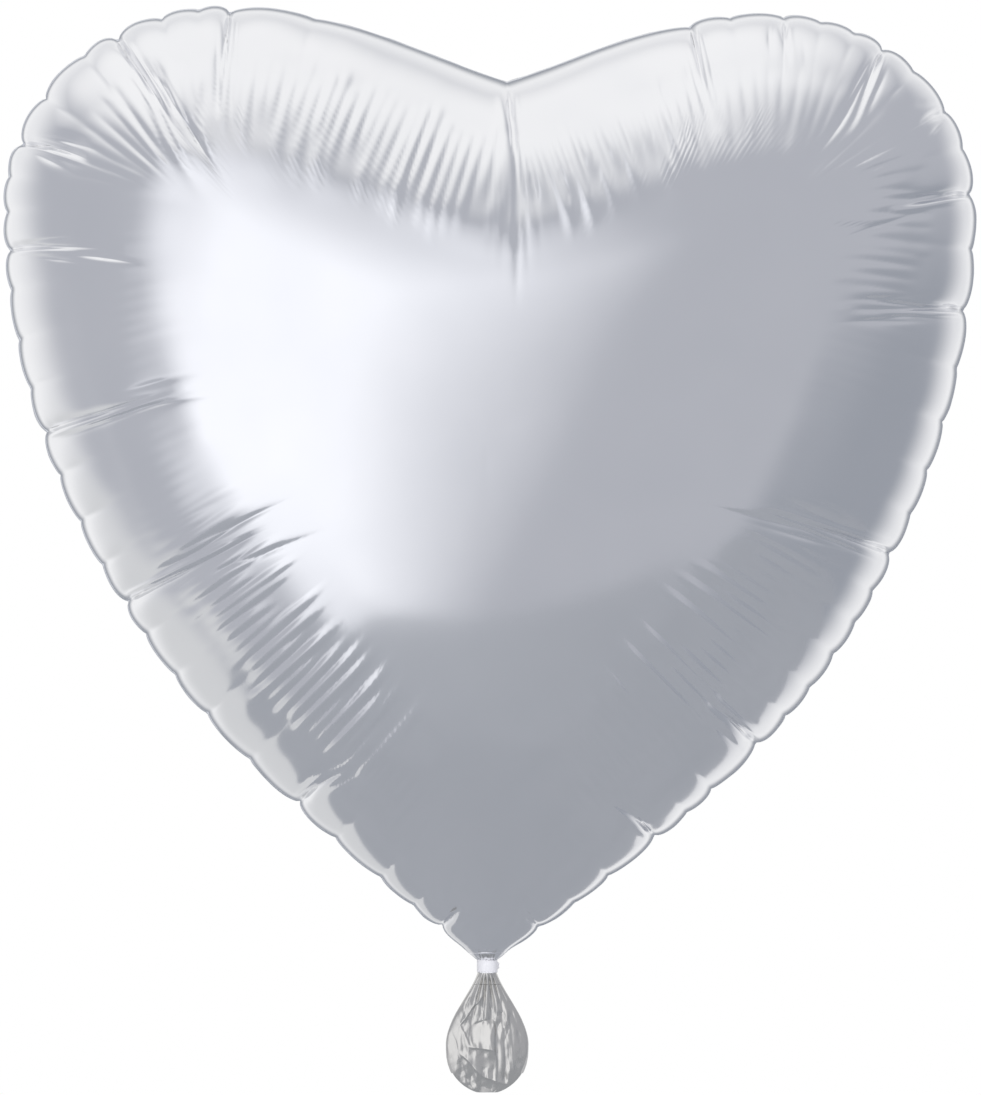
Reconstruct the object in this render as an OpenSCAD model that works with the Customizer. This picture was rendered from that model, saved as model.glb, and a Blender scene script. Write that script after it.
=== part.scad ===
// Heart-shaped foil balloon, inflated, tied off at the neck with a wound ribbon.
// Frame: +Z up, +X to the viewer's right, -Y towards the viewer, millimetres.
// The origin is the middle of the ribbon wound round the neck.

/* [Heart] */
// Width of the inflated heart across its lobes
heart_w = 380; // [340:5:420]
// Thickness of the inflated heart, front to back
heart_t = 188; // [160:2:200]
// Height above the origin at which the panels close in on the neck
throat_z = 7; // [7:0.5:9]
// Width of the welded margin round the edge of the heart
margin_w = 3; // [2:0.5:5]

/* [Film] */
// Thickness of a foil panel
panel_t = 0.8; // [0.6:0.1:1.2]
// Thickness of a foil leaf of the tail
leaf_t = 0.6; // [0.4:0.1:0.8]
// Thickness of the weld that joins the two panels
weld_t = 1; // [0.8:0.1:1.4]
// Thickness of one clear film of the valve
valve_t = 0.3; // [0.2:0.05:0.35]

/* [Tie] */
// Radius of the film gathered inside the ribbon
gather_r = 3.4; // [3:0.1:3.6]
// Width of the curling ribbon
ribbon_w = 5; // [4:0.5:5]
// Thickness of all the turns of ribbon together
ribbon_t = 0.65; // [0.4:0.05:0.8]
// Length of each clipped ribbon end
ribbon_end = 5; // [4:0.5:6]

/* [Tail] */
// Width of the inflation tail
tail_w = 32.4; // [28:0.4:40]
// Height of the tail's lowest point, below the origin
tail_z = -50; // [-60:1:-46]
// How far each leaf of the tail bulges from the middle plane
tail_bulge = 3.4; // [2:0.2:5]

/* [Valve] */
// Width of the clear valve inside the heart
valve_w = 28; // [20:1:36]
// Height of the valve's inner end above the origin
valve_top = 112; // [90:1:140]

/* [Hidden] */
$fn = 64;
gap = 0.05;              // between pieces that touch on the real balloon
nominal_w = 380;         // width at which the heart's control points are drawn
nominal_throat = 7;      // height of the throat in those points
throat_r = 4.2;          // outside radius of the panels where they close in
neck_pivot = 5.5;        // height at which the film bends between the heart and the tie
tail_pivot = -5;         // height at which it bends between the tie and the tail
bead_clear = 0.4;        // gap between a bead and the tie, left for the film that bends
rings = 12;              // rings of points from a shell's edge to its crown
tip_spread = 22;         // half angle, in degrees, of the cone that runs down to the neck
leaf_top = -8.4;         // height of the tail leaves' upper edge
leaf_top_w = 6;          // width of the leaves where they leave the gather
leaf_weld_w = 2.6;       // width of the welds down the tail's sides
leaf_mouth = 1.6;        // how far each leaf stands out where it leaves the gather
tail_weld_span = [8, 42]; // lower and upper ends of those welds, above the tail's lowest point
neck_top = throat_z + 5; // height above which the heart's weld and its valve begin
valve_neck_w = 6;        // width of the valve at its gathered end
valve_flare = 26;        // height over which it widens to its full width
valve_weld_w = 2;        // width of each weld along the valve's edges
knot_size = [2.4, 3.6, 3.4]; // the knot before its corners are rounded
knot_r = 2;              // radius of the knot's rounded corners
knot_turn = 55;          // where the knot sits round the wrap, from +X
knot_out = 1.35;         // how far the knot's middle stands off the wrap
end_turns = [24, 62];    // directions of the two ribbon ends from the knot
end_t = 0.4;             // thickness of a ribbon end
end_w = 4;               // height of a ribbon end, which curls up a little
end_low = -1;            // height of a ribbon end's lower edge
end_gap = 0.3;           // between the knot's rounded corner and a ribbon end
fan_r = [2.4, 1.8];      // radii of the tail's gathered film, at its bottom and its top
cut = 1;                 // how far a cutting shape runs past what it cuts
heart_steps = 11;        // points along each curve of the heart
tail_steps = 10;         // points along each curve of the tail
heart_mid = [0, 205];    // crown of the heart, X and Z
tail_mid = [0, -32];     // crown of the tail's leaves, X and Z

// Radii of the two beads, which touch neither the ribbon nor the film beyond them.
neck_bead_r = neck_pivot - ribbon_w / 2 - bead_clear;
tail_bead_r = -tail_pivot - ribbon_w / 2 - bead_clear;

// The right half of the heart as four cubic curves, from the notch to the throat.
heart_curves = [
    [[0, 344], [35, 354], [72, 374], [108, 374]],
    [[108, 374], [154, 374], [190, 342], [190, 297]],
    [[190, 297], [190, 232], [165, 170], [125, 118]],
    [[125, 118], [95, 79], [40, 35], [throat_r, nominal_throat]]
];
// The right half of the tail's egg outline, in halves of its width and shares of its length.
tail_curves = [
    [[leaf_top_w / tail_w, 0], [0.62, 0.10], [1, 0.34], [1, 0.58]],
    [[1, 0.58], [1, 0.84], [0.6, 1], [0, 1]]
];

function unit(v) = v / norm(v);
function bezier(p, t) =
    pow(1 - t, 3) * p[0] + 3 * pow(1 - t, 2) * t * p[1] + 3 * (1 - t) * t * t * p[2] + t * t * t * p[3];
function along(curve, n) = [for (i = [0:n - 1]) bezier(curve, i / n)];
function mirrored(points) = [for (i = [len(points) - 1:-1:0]) [-points[i].x, points[i].y]];

// Outlines are lists of [x, z, reach]. Reach is how far the edge itself stands out in -Y,
// which is 0 except round the throat, where the two panels make a tube.
heart_scale = heart_w / nominal_w;
function heart_place(p) = [p.x * heart_scale, throat_z + (p.y - nominal_throat) * heart_scale];
heart_right = [for (curve = heart_curves) for (p = along(curve, heart_steps)) heart_place(p)];
heart_left = [for (p = mirrored(heart_right)) if (p.x < 0) p];
heart_rim = concat(
    [for (p = heart_right) [p.x, p.y, 0]],
    [for (a = [0:30:180]) [throat_r * cos(a), throat_z, throat_r * sin(a)]],
    [for (p = heart_left) [p.x, p.y, 0]]);

function tail_place(p) = [p.x * tail_w / 2, leaf_top + p.y * (tail_z - leaf_top)];
tail_right = [for (curve = tail_curves) for (p = along(curve, tail_steps)) tail_place(p)];
tail_rim = concat(
    [for (p = tail_right) [p.x, p.y, 0]],
    [[0, tail_z, 0]],
    [for (p = mirrored(tail_right)) [p.x, p.y, 0]],
    [[0, leaf_top, leaf_mouth]]);

// A rim drawn in by d towards the point mid.
function drawn_in(rim, mid, d) = [for (p = rim)
    let (flat = [p.x, p.y], q = flat - d * unit(flat - mid)) [q.x, q.y, p[2] * (1 - d / throat_r)]];
function flat_rim(rim) = [for (p = rim) [p.x, p.y]];

// How near a direction is to straight down, from 1 to 0. The dome turns into a cone there.
function downward(v, spread) = spread == 0 ? 0 : exp(-pow(atan2(abs(v.x), -v.y) / spread, 2));
// The height of the dome, from 1 at the crown to 0 at the rim: a little fuller than an ellipse,
// and straight-sided where it is a cone.
function dome(u, down) = pow(1 - pow(u, 2.3 - 0.3 * down), 0.5 + 0.5 * down);
function skin_point(p, mid, height, base, spread, u) =
    let (v = [p.x - mid.x, p.y - mid.y], down = downward(v, spread))
    [mid.x + u * v.x, -(base + height * dome(u, down) + p[2] * pow(u, 8)), mid.y + u * v.y];
function skin(rim, mid, height, base, spread) = concat(
    [for (j = [0:rings - 1]) for (p = rim)
        skin_point(p, mid, height, base, spread, sin(90 * (rings - j) / rings))],
    [[mid.x, -(base + height), mid.y]]);

// A thin domed shell that stands out in -Y from its rim, at y = -base, to its crown.
module domed_shell(rim, mid, height, base, t, spread = 0) {
    n = len(rim);
    crown = rings * n;
    inside = crown + 1;
    points = concat(skin(rim, mid, height, base, spread),
                    skin(drawn_in(rim, mid, t), mid, height - t, base, spread));
    faces = concat(
        [for (j = [0:rings - 2]) for (i = [0:n - 1]) let (a = j * n + i, b = j * n + (i + 1) % n)
            each [[a, a + n, b], [b, a + n, b + n]]],
        [for (i = [0:n - 1]) [crown - n + i, crown, crown - n + (i + 1) % n]],
        [for (j = [0:rings - 2]) for (i = [0:n - 1])
            let (a = inside + j * n + i, b = inside + j * n + (i + 1) % n)
            each [[a, b, a + n], [b, b + n, a + n]]],
        [for (i = [0:n - 1]) [inside + crown - n + i, inside + crown - n + (i + 1) % n, inside + crown]],
        [for (i = [0:n - 1]) let (k = (i + 1) % n) each [[i, k, inside + i], [k, inside + k, inside + i]]]);
    polyhedron(points = points, faces = faces, convexity = 6);
}

// A flat sheet of thickness t whose middle plane is at y, drawn in X and Z by its children.
module sheet_at(y, t) {
    translate([0, y + t / 2, 0]) rotate([90, 0, 0]) linear_extrude(t) children();
}

module front_panel() {
    color("silver") domed_shell(heart_rim, heart_mid, heart_t / 2 - weld_t / 2 - gap,
                                weld_t / 2 + gap, panel_t, tip_spread);
}

module back_panel() {
    color("silver") mirror([0, 1, 0]) domed_shell(heart_rim, heart_mid, heart_t / 2 - weld_t / 2 - gap,
                                                  weld_t / 2 + gap, panel_t, tip_spread);
}

module edge_weld() {
    color("gainsboro") sheet_at(0, weld_t) difference() {
        polygon(flat_rim(heart_rim));
        polygon(flat_rim(drawn_in(heart_rim, heart_mid, margin_w)));
        // The neck runs out between the ends of the weld.
        translate([-2 * throat_r, 0]) square([4 * throat_r, neck_top]);
    }
}

// One film of the valve: gathered at the neck, then a parallel channel up into the heart.
module valve_outline() {
    narrow = valve_neck_w / 2;
    wide = valve_w / 2;
    flare_top = neck_top + valve_flare;
    polygon([[-narrow, neck_top], [narrow, neck_top], [wide, flare_top], [wide, valve_top],
             [-wide, valve_top], [-wide, flare_top]]);
}

module valve_front_film() {
    color("whitesmoke") sheet_at(-valve_t / 2 - gap, valve_t) valve_outline();
}

module valve_back_film() {
    color("whitesmoke") sheet_at(valve_t / 2 + gap, valve_t) valve_outline();
}

// The two welds lie along the valve's long edges, outside its films.
module valve_side_welds() {
    low = neck_top + valve_flare + cut;
    for (s = [-1, 1])
        color("lightgrey") sheet_at(0, 2 * valve_t + 2 * gap)
            translate([s * (valve_w / 2 + valve_weld_w / 2 + gap) - valve_weld_w / 2, low])
                square([valve_weld_w, valve_top - low]);
}

// The limp film just above the ribbon. Both of the neck's hinges pass through its middle.
module neck_bead() {
    color("silver") translate([0, 0, neck_pivot]) sphere(r = neck_bead_r);
}

// The panels' own film, bunched together where the ribbon holds it.
module neck_gather() {
    color("silver") cylinder(h = ribbon_w, r = gather_r, center = true);
}

module ribbon_wrap() {
    color("white") difference() {
        cylinder(h = ribbon_w, r = gather_r + gap + ribbon_t, center = true);
        cylinder(h = ribbon_w + 2 * cut, r = gather_r + gap, center = true);
    }
}

// Where the knot sits: behind the wrap and to the right.
module at_knot() {
    rotate([0, 0, knot_turn]) translate([gather_r + ribbon_t + knot_out, 0, 0]) children();
}

module ribbon_knot() {
    color("white") at_knot() intersection() {
        sphere(r = knot_r);
        cube(knot_size, center = true);
    }
}

// The ends trail behind the knot and stand a little above it, clear of the tail's swing.
module ribbon_ends() {
    for (turn = end_turns)
        color("white") at_knot() rotate([0, 0, turn]) translate([knot_r + end_gap, -end_t / 2, end_low])
            cube([ribbon_end, end_t, end_w]);
}

// The limp film just below the ribbon. Both of the tail's hinges pass through its middle.
module tail_bead() {
    color("silver") translate([0, 0, tail_pivot]) sphere(r = tail_bead_r);
}

// The pleated film that fans out into the tail's two leaves.
module tail_gather() {
    low = leaf_top + gap;
    top = tail_pivot - tail_bead_r - bead_clear;
    color("silver") translate([0, 0, low]) cylinder(h = top - low, r1 = fan_r[0], r2 = fan_r[1]);
}

module tail_leaf() {
    domed_shell(tail_rim, tail_mid, tail_bulge - weld_t / 2, weld_t / 2, leaf_t);
}

module front_tail_leaf() {
    color("silver") tail_leaf();
}

module back_tail_leaf() {
    color("silver") mirror([0, 1, 0]) tail_leaf();
}

// The weld down one side of the tail: s is 1 on the right and -1 on the left.
module tail_side_weld(s) {
    color("gainsboro") sheet_at(0, weld_t - 2 * gap) intersection() {
        difference() {
            polygon(flat_rim(tail_rim));
            polygon(flat_rim(drawn_in(tail_rim, tail_mid, leaf_weld_w)));
        }
        translate([s > 0 ? leaf_top_w / 2 : -tail_w, tail_z + tail_weld_span[0]])
            square([tail_w - leaf_top_w / 2, tail_weld_span[1] - tail_weld_span[0]]);
    }
}

module tail_weld_left() {
    tail_side_weld(-1);
}

module tail_weld_right() {
    tail_side_weld(1);
}

// The valve's outer end, seen between the leaves at the tail's mouth, just inside their welds.
module tail_valve_film(y) {
    top = leaf_top - 3;
    color("whitesmoke") sheet_at(y, valve_t) intersection() {
        polygon(flat_rim(drawn_in(tail_rim, tail_mid, leaf_weld_w + 0.3)));
        translate([-tail_w / 2, tail_z]) square([tail_w, top - tail_z]);
    }
}

module tail_valve_front() {
    tail_valve_film(-valve_t / 2 - gap);
}

module tail_valve_back() {
    tail_valve_film(valve_t / 2 + gap);
}

front_panel();
back_panel();
edge_weld();
valve_front_film();
valve_back_film();
valve_side_welds();
neck_bead();
neck_gather();
ribbon_wrap();
ribbon_knot();
ribbon_ends();
tail_bead();
tail_gather();
front_tail_leaf();
back_tail_leaf();
tail_weld_left();
tail_weld_right();
tail_valve_front();
tail_valve_back();
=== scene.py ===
"""Silver heart-shaped foil balloon, tied off at the neck with white curling ribbon.

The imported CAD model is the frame: it holds the sizes, the bodies and the hinges at the neck.
This script makes what the eye sees: the inflated film with its puckered weld, creases and
pleats, the gathered neck, the wound ribbon and the crumpled inflation tail.
Lengths in the classes below are in millimetres in the CAD model's axes: +X to the viewer's
right, -Y towards the viewer and +Z up, from the middle of the ribbon. Meshes are in metres.
"""
import logging
import math
from dataclasses import dataclass, field
from enum import Enum
from typing import Sequence

import bmesh
import bpy
import numpy as np
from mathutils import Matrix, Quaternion, Vector, kdtree

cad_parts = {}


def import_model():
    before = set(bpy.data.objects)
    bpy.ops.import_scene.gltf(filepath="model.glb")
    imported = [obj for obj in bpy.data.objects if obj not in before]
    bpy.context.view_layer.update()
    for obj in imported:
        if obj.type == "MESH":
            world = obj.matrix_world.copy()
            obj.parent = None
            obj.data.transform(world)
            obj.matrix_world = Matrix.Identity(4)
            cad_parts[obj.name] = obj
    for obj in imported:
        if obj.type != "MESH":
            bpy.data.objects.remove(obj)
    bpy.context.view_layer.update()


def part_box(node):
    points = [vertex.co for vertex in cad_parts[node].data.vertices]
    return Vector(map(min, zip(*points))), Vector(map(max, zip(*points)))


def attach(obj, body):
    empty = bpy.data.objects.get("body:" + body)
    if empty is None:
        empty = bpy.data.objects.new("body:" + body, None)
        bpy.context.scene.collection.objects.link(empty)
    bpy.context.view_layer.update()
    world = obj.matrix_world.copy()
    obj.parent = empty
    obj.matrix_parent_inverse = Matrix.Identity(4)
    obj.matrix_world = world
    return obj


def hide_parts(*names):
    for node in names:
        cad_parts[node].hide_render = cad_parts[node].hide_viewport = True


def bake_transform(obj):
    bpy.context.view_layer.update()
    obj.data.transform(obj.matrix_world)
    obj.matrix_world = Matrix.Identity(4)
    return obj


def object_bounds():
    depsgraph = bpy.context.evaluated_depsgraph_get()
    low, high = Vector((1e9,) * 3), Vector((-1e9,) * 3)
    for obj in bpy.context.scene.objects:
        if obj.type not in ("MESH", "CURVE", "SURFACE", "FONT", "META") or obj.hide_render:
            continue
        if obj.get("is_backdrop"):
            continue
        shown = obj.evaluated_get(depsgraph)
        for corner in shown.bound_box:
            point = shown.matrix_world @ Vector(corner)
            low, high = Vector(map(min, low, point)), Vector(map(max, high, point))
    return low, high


LOG = logging.getLogger("balloon")
MM = 0.001
Array = np.ndarray
Point = tuple[float, float]
Point3 = tuple[float, float, float]
Faces = list[tuple[int, ...]]
# The Mix node's sockets: its two colours, and its colour result.
MIX_FROM, MIX_TO, MIX_RESULT = 6, 7, 2


class Side(Enum):
    """Which of the two panels or leaves a piece is; the value is its direction along Y."""

    FRONT = -1.0
    BACK = 1.0


# ---------------------------------------------------------------------------------- helpers


def cubic(a: Array, b: Array, c: Array, d: Array, t: Array | float) -> Array:
    """The place at t, from 0 to 1, on the cubic curve with these four control points."""
    return (1 - t) ** 3 * a + 3 * (1 - t) ** 2 * t * b + 3 * (1 - t) * t * t * c + t**3 * d


def bezier(points: Sequence[Point], count: int) -> Array:
    """Points along one cubic curve, its last point left out.

    Args:
        points: the curve's four control points.
        count: how many points to return.

    Returns:
        An array of count rows of two coordinates.
    """
    t = np.linspace(0.0, 1.0, count, endpoint=False)[:, None]
    return cubic(*(np.array(p, float) for p in points), t)


def ease(low: float, high: float, x: Array) -> Array:
    """A smooth step from 0 at low to 1 at high; the ends may be given in either order."""
    t = np.clip((x - low) / (high - low), 0.0, 1.0)
    return t * t * (3.0 - 2.0 * t)


def bell(x: Array, centre: float, half: float) -> Array:
    """A bump of height 1 at centre that falls to 1/e at half on either side."""
    return np.exp(-(((x - centre) / half) ** 2))


def wander(x: Array, step: float, seed: int) -> Array:
    """Smooth noise along a line.

    Args:
        x: places along the line, in mm.
        step: distance between the noise's own turns, in mm.
        seed: picks one noise from another.

    Returns:
        Values from about -1 to 1 at those places.
    """
    knots = np.random.default_rng(seed).uniform(-1.0, 1.0, 4096)
    at = x / step + 2000.0
    low = np.floor(at).astype(int)
    part = at - low
    part = part * part * (3.0 - 2.0 * part)
    return knots[low % 4096] * (1.0 - part) + knots[(low + 1) % 4096] * part


def unit(vectors: Array) -> Array:
    """The same vectors at length 1."""
    return vectors / np.maximum(np.linalg.norm(vectors, axis=-1, keepdims=True), 1e-9)


def grid_faces(
    rows: int, columns: int, start: int = 0, close_rows: bool = False, close_columns: bool = False
) -> Faces:
    """Faces between the points of a grid, which are numbered row by row.

    Args:
        rows: how many rows of points there are.
        columns: how many points are in a row.
        start: the number of the first point.
        close_rows: whether the last row joins the first.
        close_columns: whether each row's last point joins its first.

    Returns:
        One face of four points for each gap in the grid.
    """
    faces: Faces = []
    for j in range(rows if close_rows else rows - 1):
        here, below = start + j * columns, start + (j + 1) % rows * columns
        for i in range(columns if close_columns else columns - 1):
            k = (i + 1) % columns
            faces.append((here + i, here + k, below + k, below + i))
    return faces


def new_mesh_object(name: str, points: Array, faces: Faces) -> bpy.types.Object:
    """Makes a smooth-shaded object from points in mm.

    Args:
        name: the piece's name.
        points: rows of X, Y and Z in mm.
        faces: lists of point numbers, each going round its face.

    Returns:
        The object, at the origin, with its place in its mesh and its faces turned outwards.
    """
    mesh = bpy.data.meshes.new(name)
    mesh.from_pydata((np.asarray(points) * MM).tolist(), [], faces)
    work = bmesh.new()
    work.from_mesh(mesh)
    bmesh.ops.recalc_face_normals(work, faces=work.faces)
    work.to_mesh(mesh)
    work.free()
    mesh.polygons.foreach_set("use_smooth", [True] * len(mesh.polygons))
    mesh.update()
    piece = bpy.data.objects.new(name, mesh)
    bpy.context.scene.collection.objects.link(piece)
    return piece


def finish_piece(
    piece: bpy.types.Object,
    material: bpy.types.Material,
    replaced: Sequence[str] = (),
    body: str = "",
) -> bpy.types.Object:
    """Dresses a piece, hides the CAD nodes that it is shown in place of, and sets it on the body it moves
    with.

    Args:
        piece: the finished object.
        material: its finish.
        replaced: CAD nodes that this piece is shown in place of.
        body: the CAD body it rides on, or nothing for a piece that is set on no body.

    Returns:
        The same object.
    """
    piece.data.materials.clear()
    piece.data.materials.append(material)
    if replaced:
        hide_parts(*replaced)
    if body:
        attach(piece, body)
    LOG.info("%s: %d faces", piece.name, len(piece.data.polygons))
    return piece


# --------------------------------------------------------------------------------- finishes


def linear(code: str) -> tuple[float, float, float, float]:
    """Turns an sRGB hex colour such as "C8CACF" into linear red, green, blue and alpha."""
    parts = [int(code[i : i + 2], 16) / 255.0 for i in (0, 2, 4)]
    r, g, b = (p / 12.92 if p <= 0.04045 else ((p + 0.055) / 1.055) ** 2.4 for p in parts)
    return (r, g, b, 1.0)


def add_node(
    tree: bpy.types.NodeTree,
    kind: str,
    settings: dict[str | int, object],
    links: dict[str | int, bpy.types.NodeSocket],
) -> bpy.types.Node:
    """Adds one node.

    Args:
        tree: the material's or world's node tree.
        kind: the node's type.
        settings: values by the name or number of an input socket, or by a setting's name.
        links: output sockets by the name or number of the input that each feeds.

    Returns:
        The new node.
    """
    node = tree.nodes.new(kind)
    for key, value in settings.items():
        if isinstance(key, int) or key in node.inputs:
            node.inputs[key].default_value = value
        else:
            setattr(node, key, value)
    for key, source in links.items():
        tree.links.new(source, node.inputs[key])
    return node


def blank_material(name: str) -> tuple[bpy.types.Material, bpy.types.Node, bpy.types.NodeTree]:
    """A material with one Principled shader, the shader, and its node tree."""
    material = bpy.data.materials.new(name)
    material.use_nodes = True
    tree = material.node_tree
    return material, tree.nodes["Principled BSDF"], tree


@dataclass(frozen=True)
class MetallisedFilm:
    """Polyester film with a vacuum-laid coat of aluminium, which gives a soft, satin mirror."""

    name: str
    colour: str = "F4F4F6"
    streak_colour: str = "EBECEF"
    roughness: float = 0.145
    roughness_spread: float = 0.04
    # Rolling leaves a faint grain in the film, drawn coarser than it is so that it shows.
    grain_mm: float = 1.4
    grain_height: float = 0.004
    # Handling leaves slight dimples about a finger's width apart.
    dimple_mm: float = 16.0
    dimple_height: float = 0.05
    # The coat varies slightly in patches a few fingers across.
    cloud_mm: float = 45.0
    bump_strength: float = 0.5

    def make(self) -> bpy.types.Material:
        """Builds the material.

        Returns:
            The finished material.
        """
        material, shader, tree = blank_material(self.name)
        place = add_node(tree, "ShaderNodeTexCoord", {}, {}).outputs["Object"]
        cloud, dimples, grain = (
            add_node(
                tree,
                "ShaderNodeTexNoise",
                {"Scale": 1.0 / (size * MM), "Detail": detail},
                {"Vector": place},
            ).outputs["Fac"]
            for size, detail in ((self.cloud_mm, 2.0), (self.dimple_mm, 1.0), (self.grain_mm, 2.0))
        )
        colour = add_node(
            tree,
            "ShaderNodeMix",
            {"data_type": "RGBA", MIX_FROM: linear(self.colour), MIX_TO: linear(self.streak_colour)},
            {"Factor": cloud},
        )
        rough = add_node(
            tree,
            "ShaderNodeMapRange",
            {
                "From Min": 0.3,
                "From Max": 0.7,
                "To Min": self.roughness - self.roughness_spread / 2,
                "To Max": self.roughness + self.roughness_spread / 2,
            },
            {"Value": cloud},
        )
        low = add_node(
            tree,
            "ShaderNodeBump",
            {"Strength": self.bump_strength, "Distance": self.dimple_height * MM},
            {"Height": dimples},
        )
        fine = add_node(
            tree,
            "ShaderNodeBump",
            {"Strength": self.bump_strength, "Distance": self.grain_height * MM},
            {"Height": grain, "Normal": low.outputs["Normal"]},
        )
        shader.inputs["Metallic"].default_value = 1.0
        tree.links.new(colour.outputs[MIX_RESULT], shader.inputs["Base Color"])
        tree.links.new(rough.outputs["Result"], shader.inputs["Roughness"])
        tree.links.new(fine.outputs["Normal"], shader.inputs["Normal"])
        return material


@dataclass(frozen=True)
class CurlingRibbon:
    """Polypropylene curling ribbon: glossy white plastic with fine ribs along its length."""

    name: str = "curling_ribbon_white_polypropylene"
    colour: str = "F1F0F3"
    rib_mm: float = 0.35
    rib_height: float = 0.03
    bump_strength: float = 0.5
    roughness: float = 0.32
    ior: float = 1.49
    # Light enters the white plastic a little way before it comes out again.
    light_depth: float = 0.6
    light_share: float = 0.08

    def make(self) -> bpy.types.Material:
        """Builds the material.

        Returns:
            The finished material.
        """
        material, shader, tree = blank_material(self.name)
        place = add_node(tree, "ShaderNodeTexCoord", {}, {}).outputs["Object"]
        ribs = add_node(
            tree,
            "ShaderNodeTexWave",
            {"bands_direction": "Z", "Scale": 1.0 / (self.rib_mm * MM) / 10.0, "Distortion": 1.2},
            {"Vector": place},
        )
        bump = add_node(
            tree,
            "ShaderNodeBump",
            {"Strength": self.bump_strength, "Distance": self.rib_height * MM},
            {"Height": ribs.outputs["Fac"]},
        )
        shader.inputs["Base Color"].default_value = linear(self.colour)
        shader.inputs["Roughness"].default_value = self.roughness
        shader.inputs["IOR"].default_value = self.ior
        shader.inputs["Subsurface Weight"].default_value = self.light_share
        shader.inputs["Subsurface Radius"].default_value = (self.light_depth * MM,) * 3
        tree.links.new(bump.outputs["Normal"], shader.inputs["Normal"])
        return material


@dataclass(frozen=True)
class ClearFilm:
    """Blown polyethylene film of the valve: clear, limp and slightly hazy."""

    name: str = "valve_film_clear_polyethylene"
    colour: str = "EEF1F3"
    haze_mm: float = 9.0
    roughness: tuple[float, float] = (0.12, 0.3)
    ior: float = 1.51
    clearness: float = 0.85

    def make(self) -> bpy.types.Material:
        """Builds the material.

        Returns:
            The finished material.
        """
        material, shader, tree = blank_material(self.name)
        place = add_node(tree, "ShaderNodeTexCoord", {}, {}).outputs["Object"]
        haze = add_node(
            tree,
            "ShaderNodeTexNoise",
            {"Scale": 1.0 / (self.haze_mm * MM), "Detail": 3.0},
            {"Vector": place},
        )
        rough = add_node(
            tree,
            "ShaderNodeMapRange",
            {"To Min": self.roughness[0], "To Max": self.roughness[1]},
            {"Value": haze.outputs["Fac"]},
        )
        shader.inputs["Base Color"].default_value = linear(self.colour)
        shader.inputs["IOR"].default_value = self.ior
        shader.inputs["Transmission Weight"].default_value = self.clearness
        tree.links.new(rough.outputs["Result"], shader.inputs["Roughness"])
        return material


# ---------------------------------------------------------------------------- heart outline


@dataclass(frozen=True)
class Pinch:
    """A place where the shrunken weld bites into the film.

    share is how far round its side it lies, from 0 at the notch to 1 at the neck. depth is how
    far the edge dips there, in mm. reach is how far its crease runs in, in mm, or 0 for a
    scallop that has none, and drift is how far the crease's inner end has moved along the edge.
    """

    share: float
    depth: float
    reach: float = 0.0
    drift: float = 0.0


@dataclass
class Foot:
    """For each point of a panel: its nearest place on the weld line.

    deep is the distance from the weld line. along is the distance round the weld line from the
    notch, negative on the left. pleat is the same measured along a line that runs at pleat_depth
    inside the weld, which fans round the notch.
    """

    deep: Array
    along: Array
    pleat: Array
    place: Array


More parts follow.
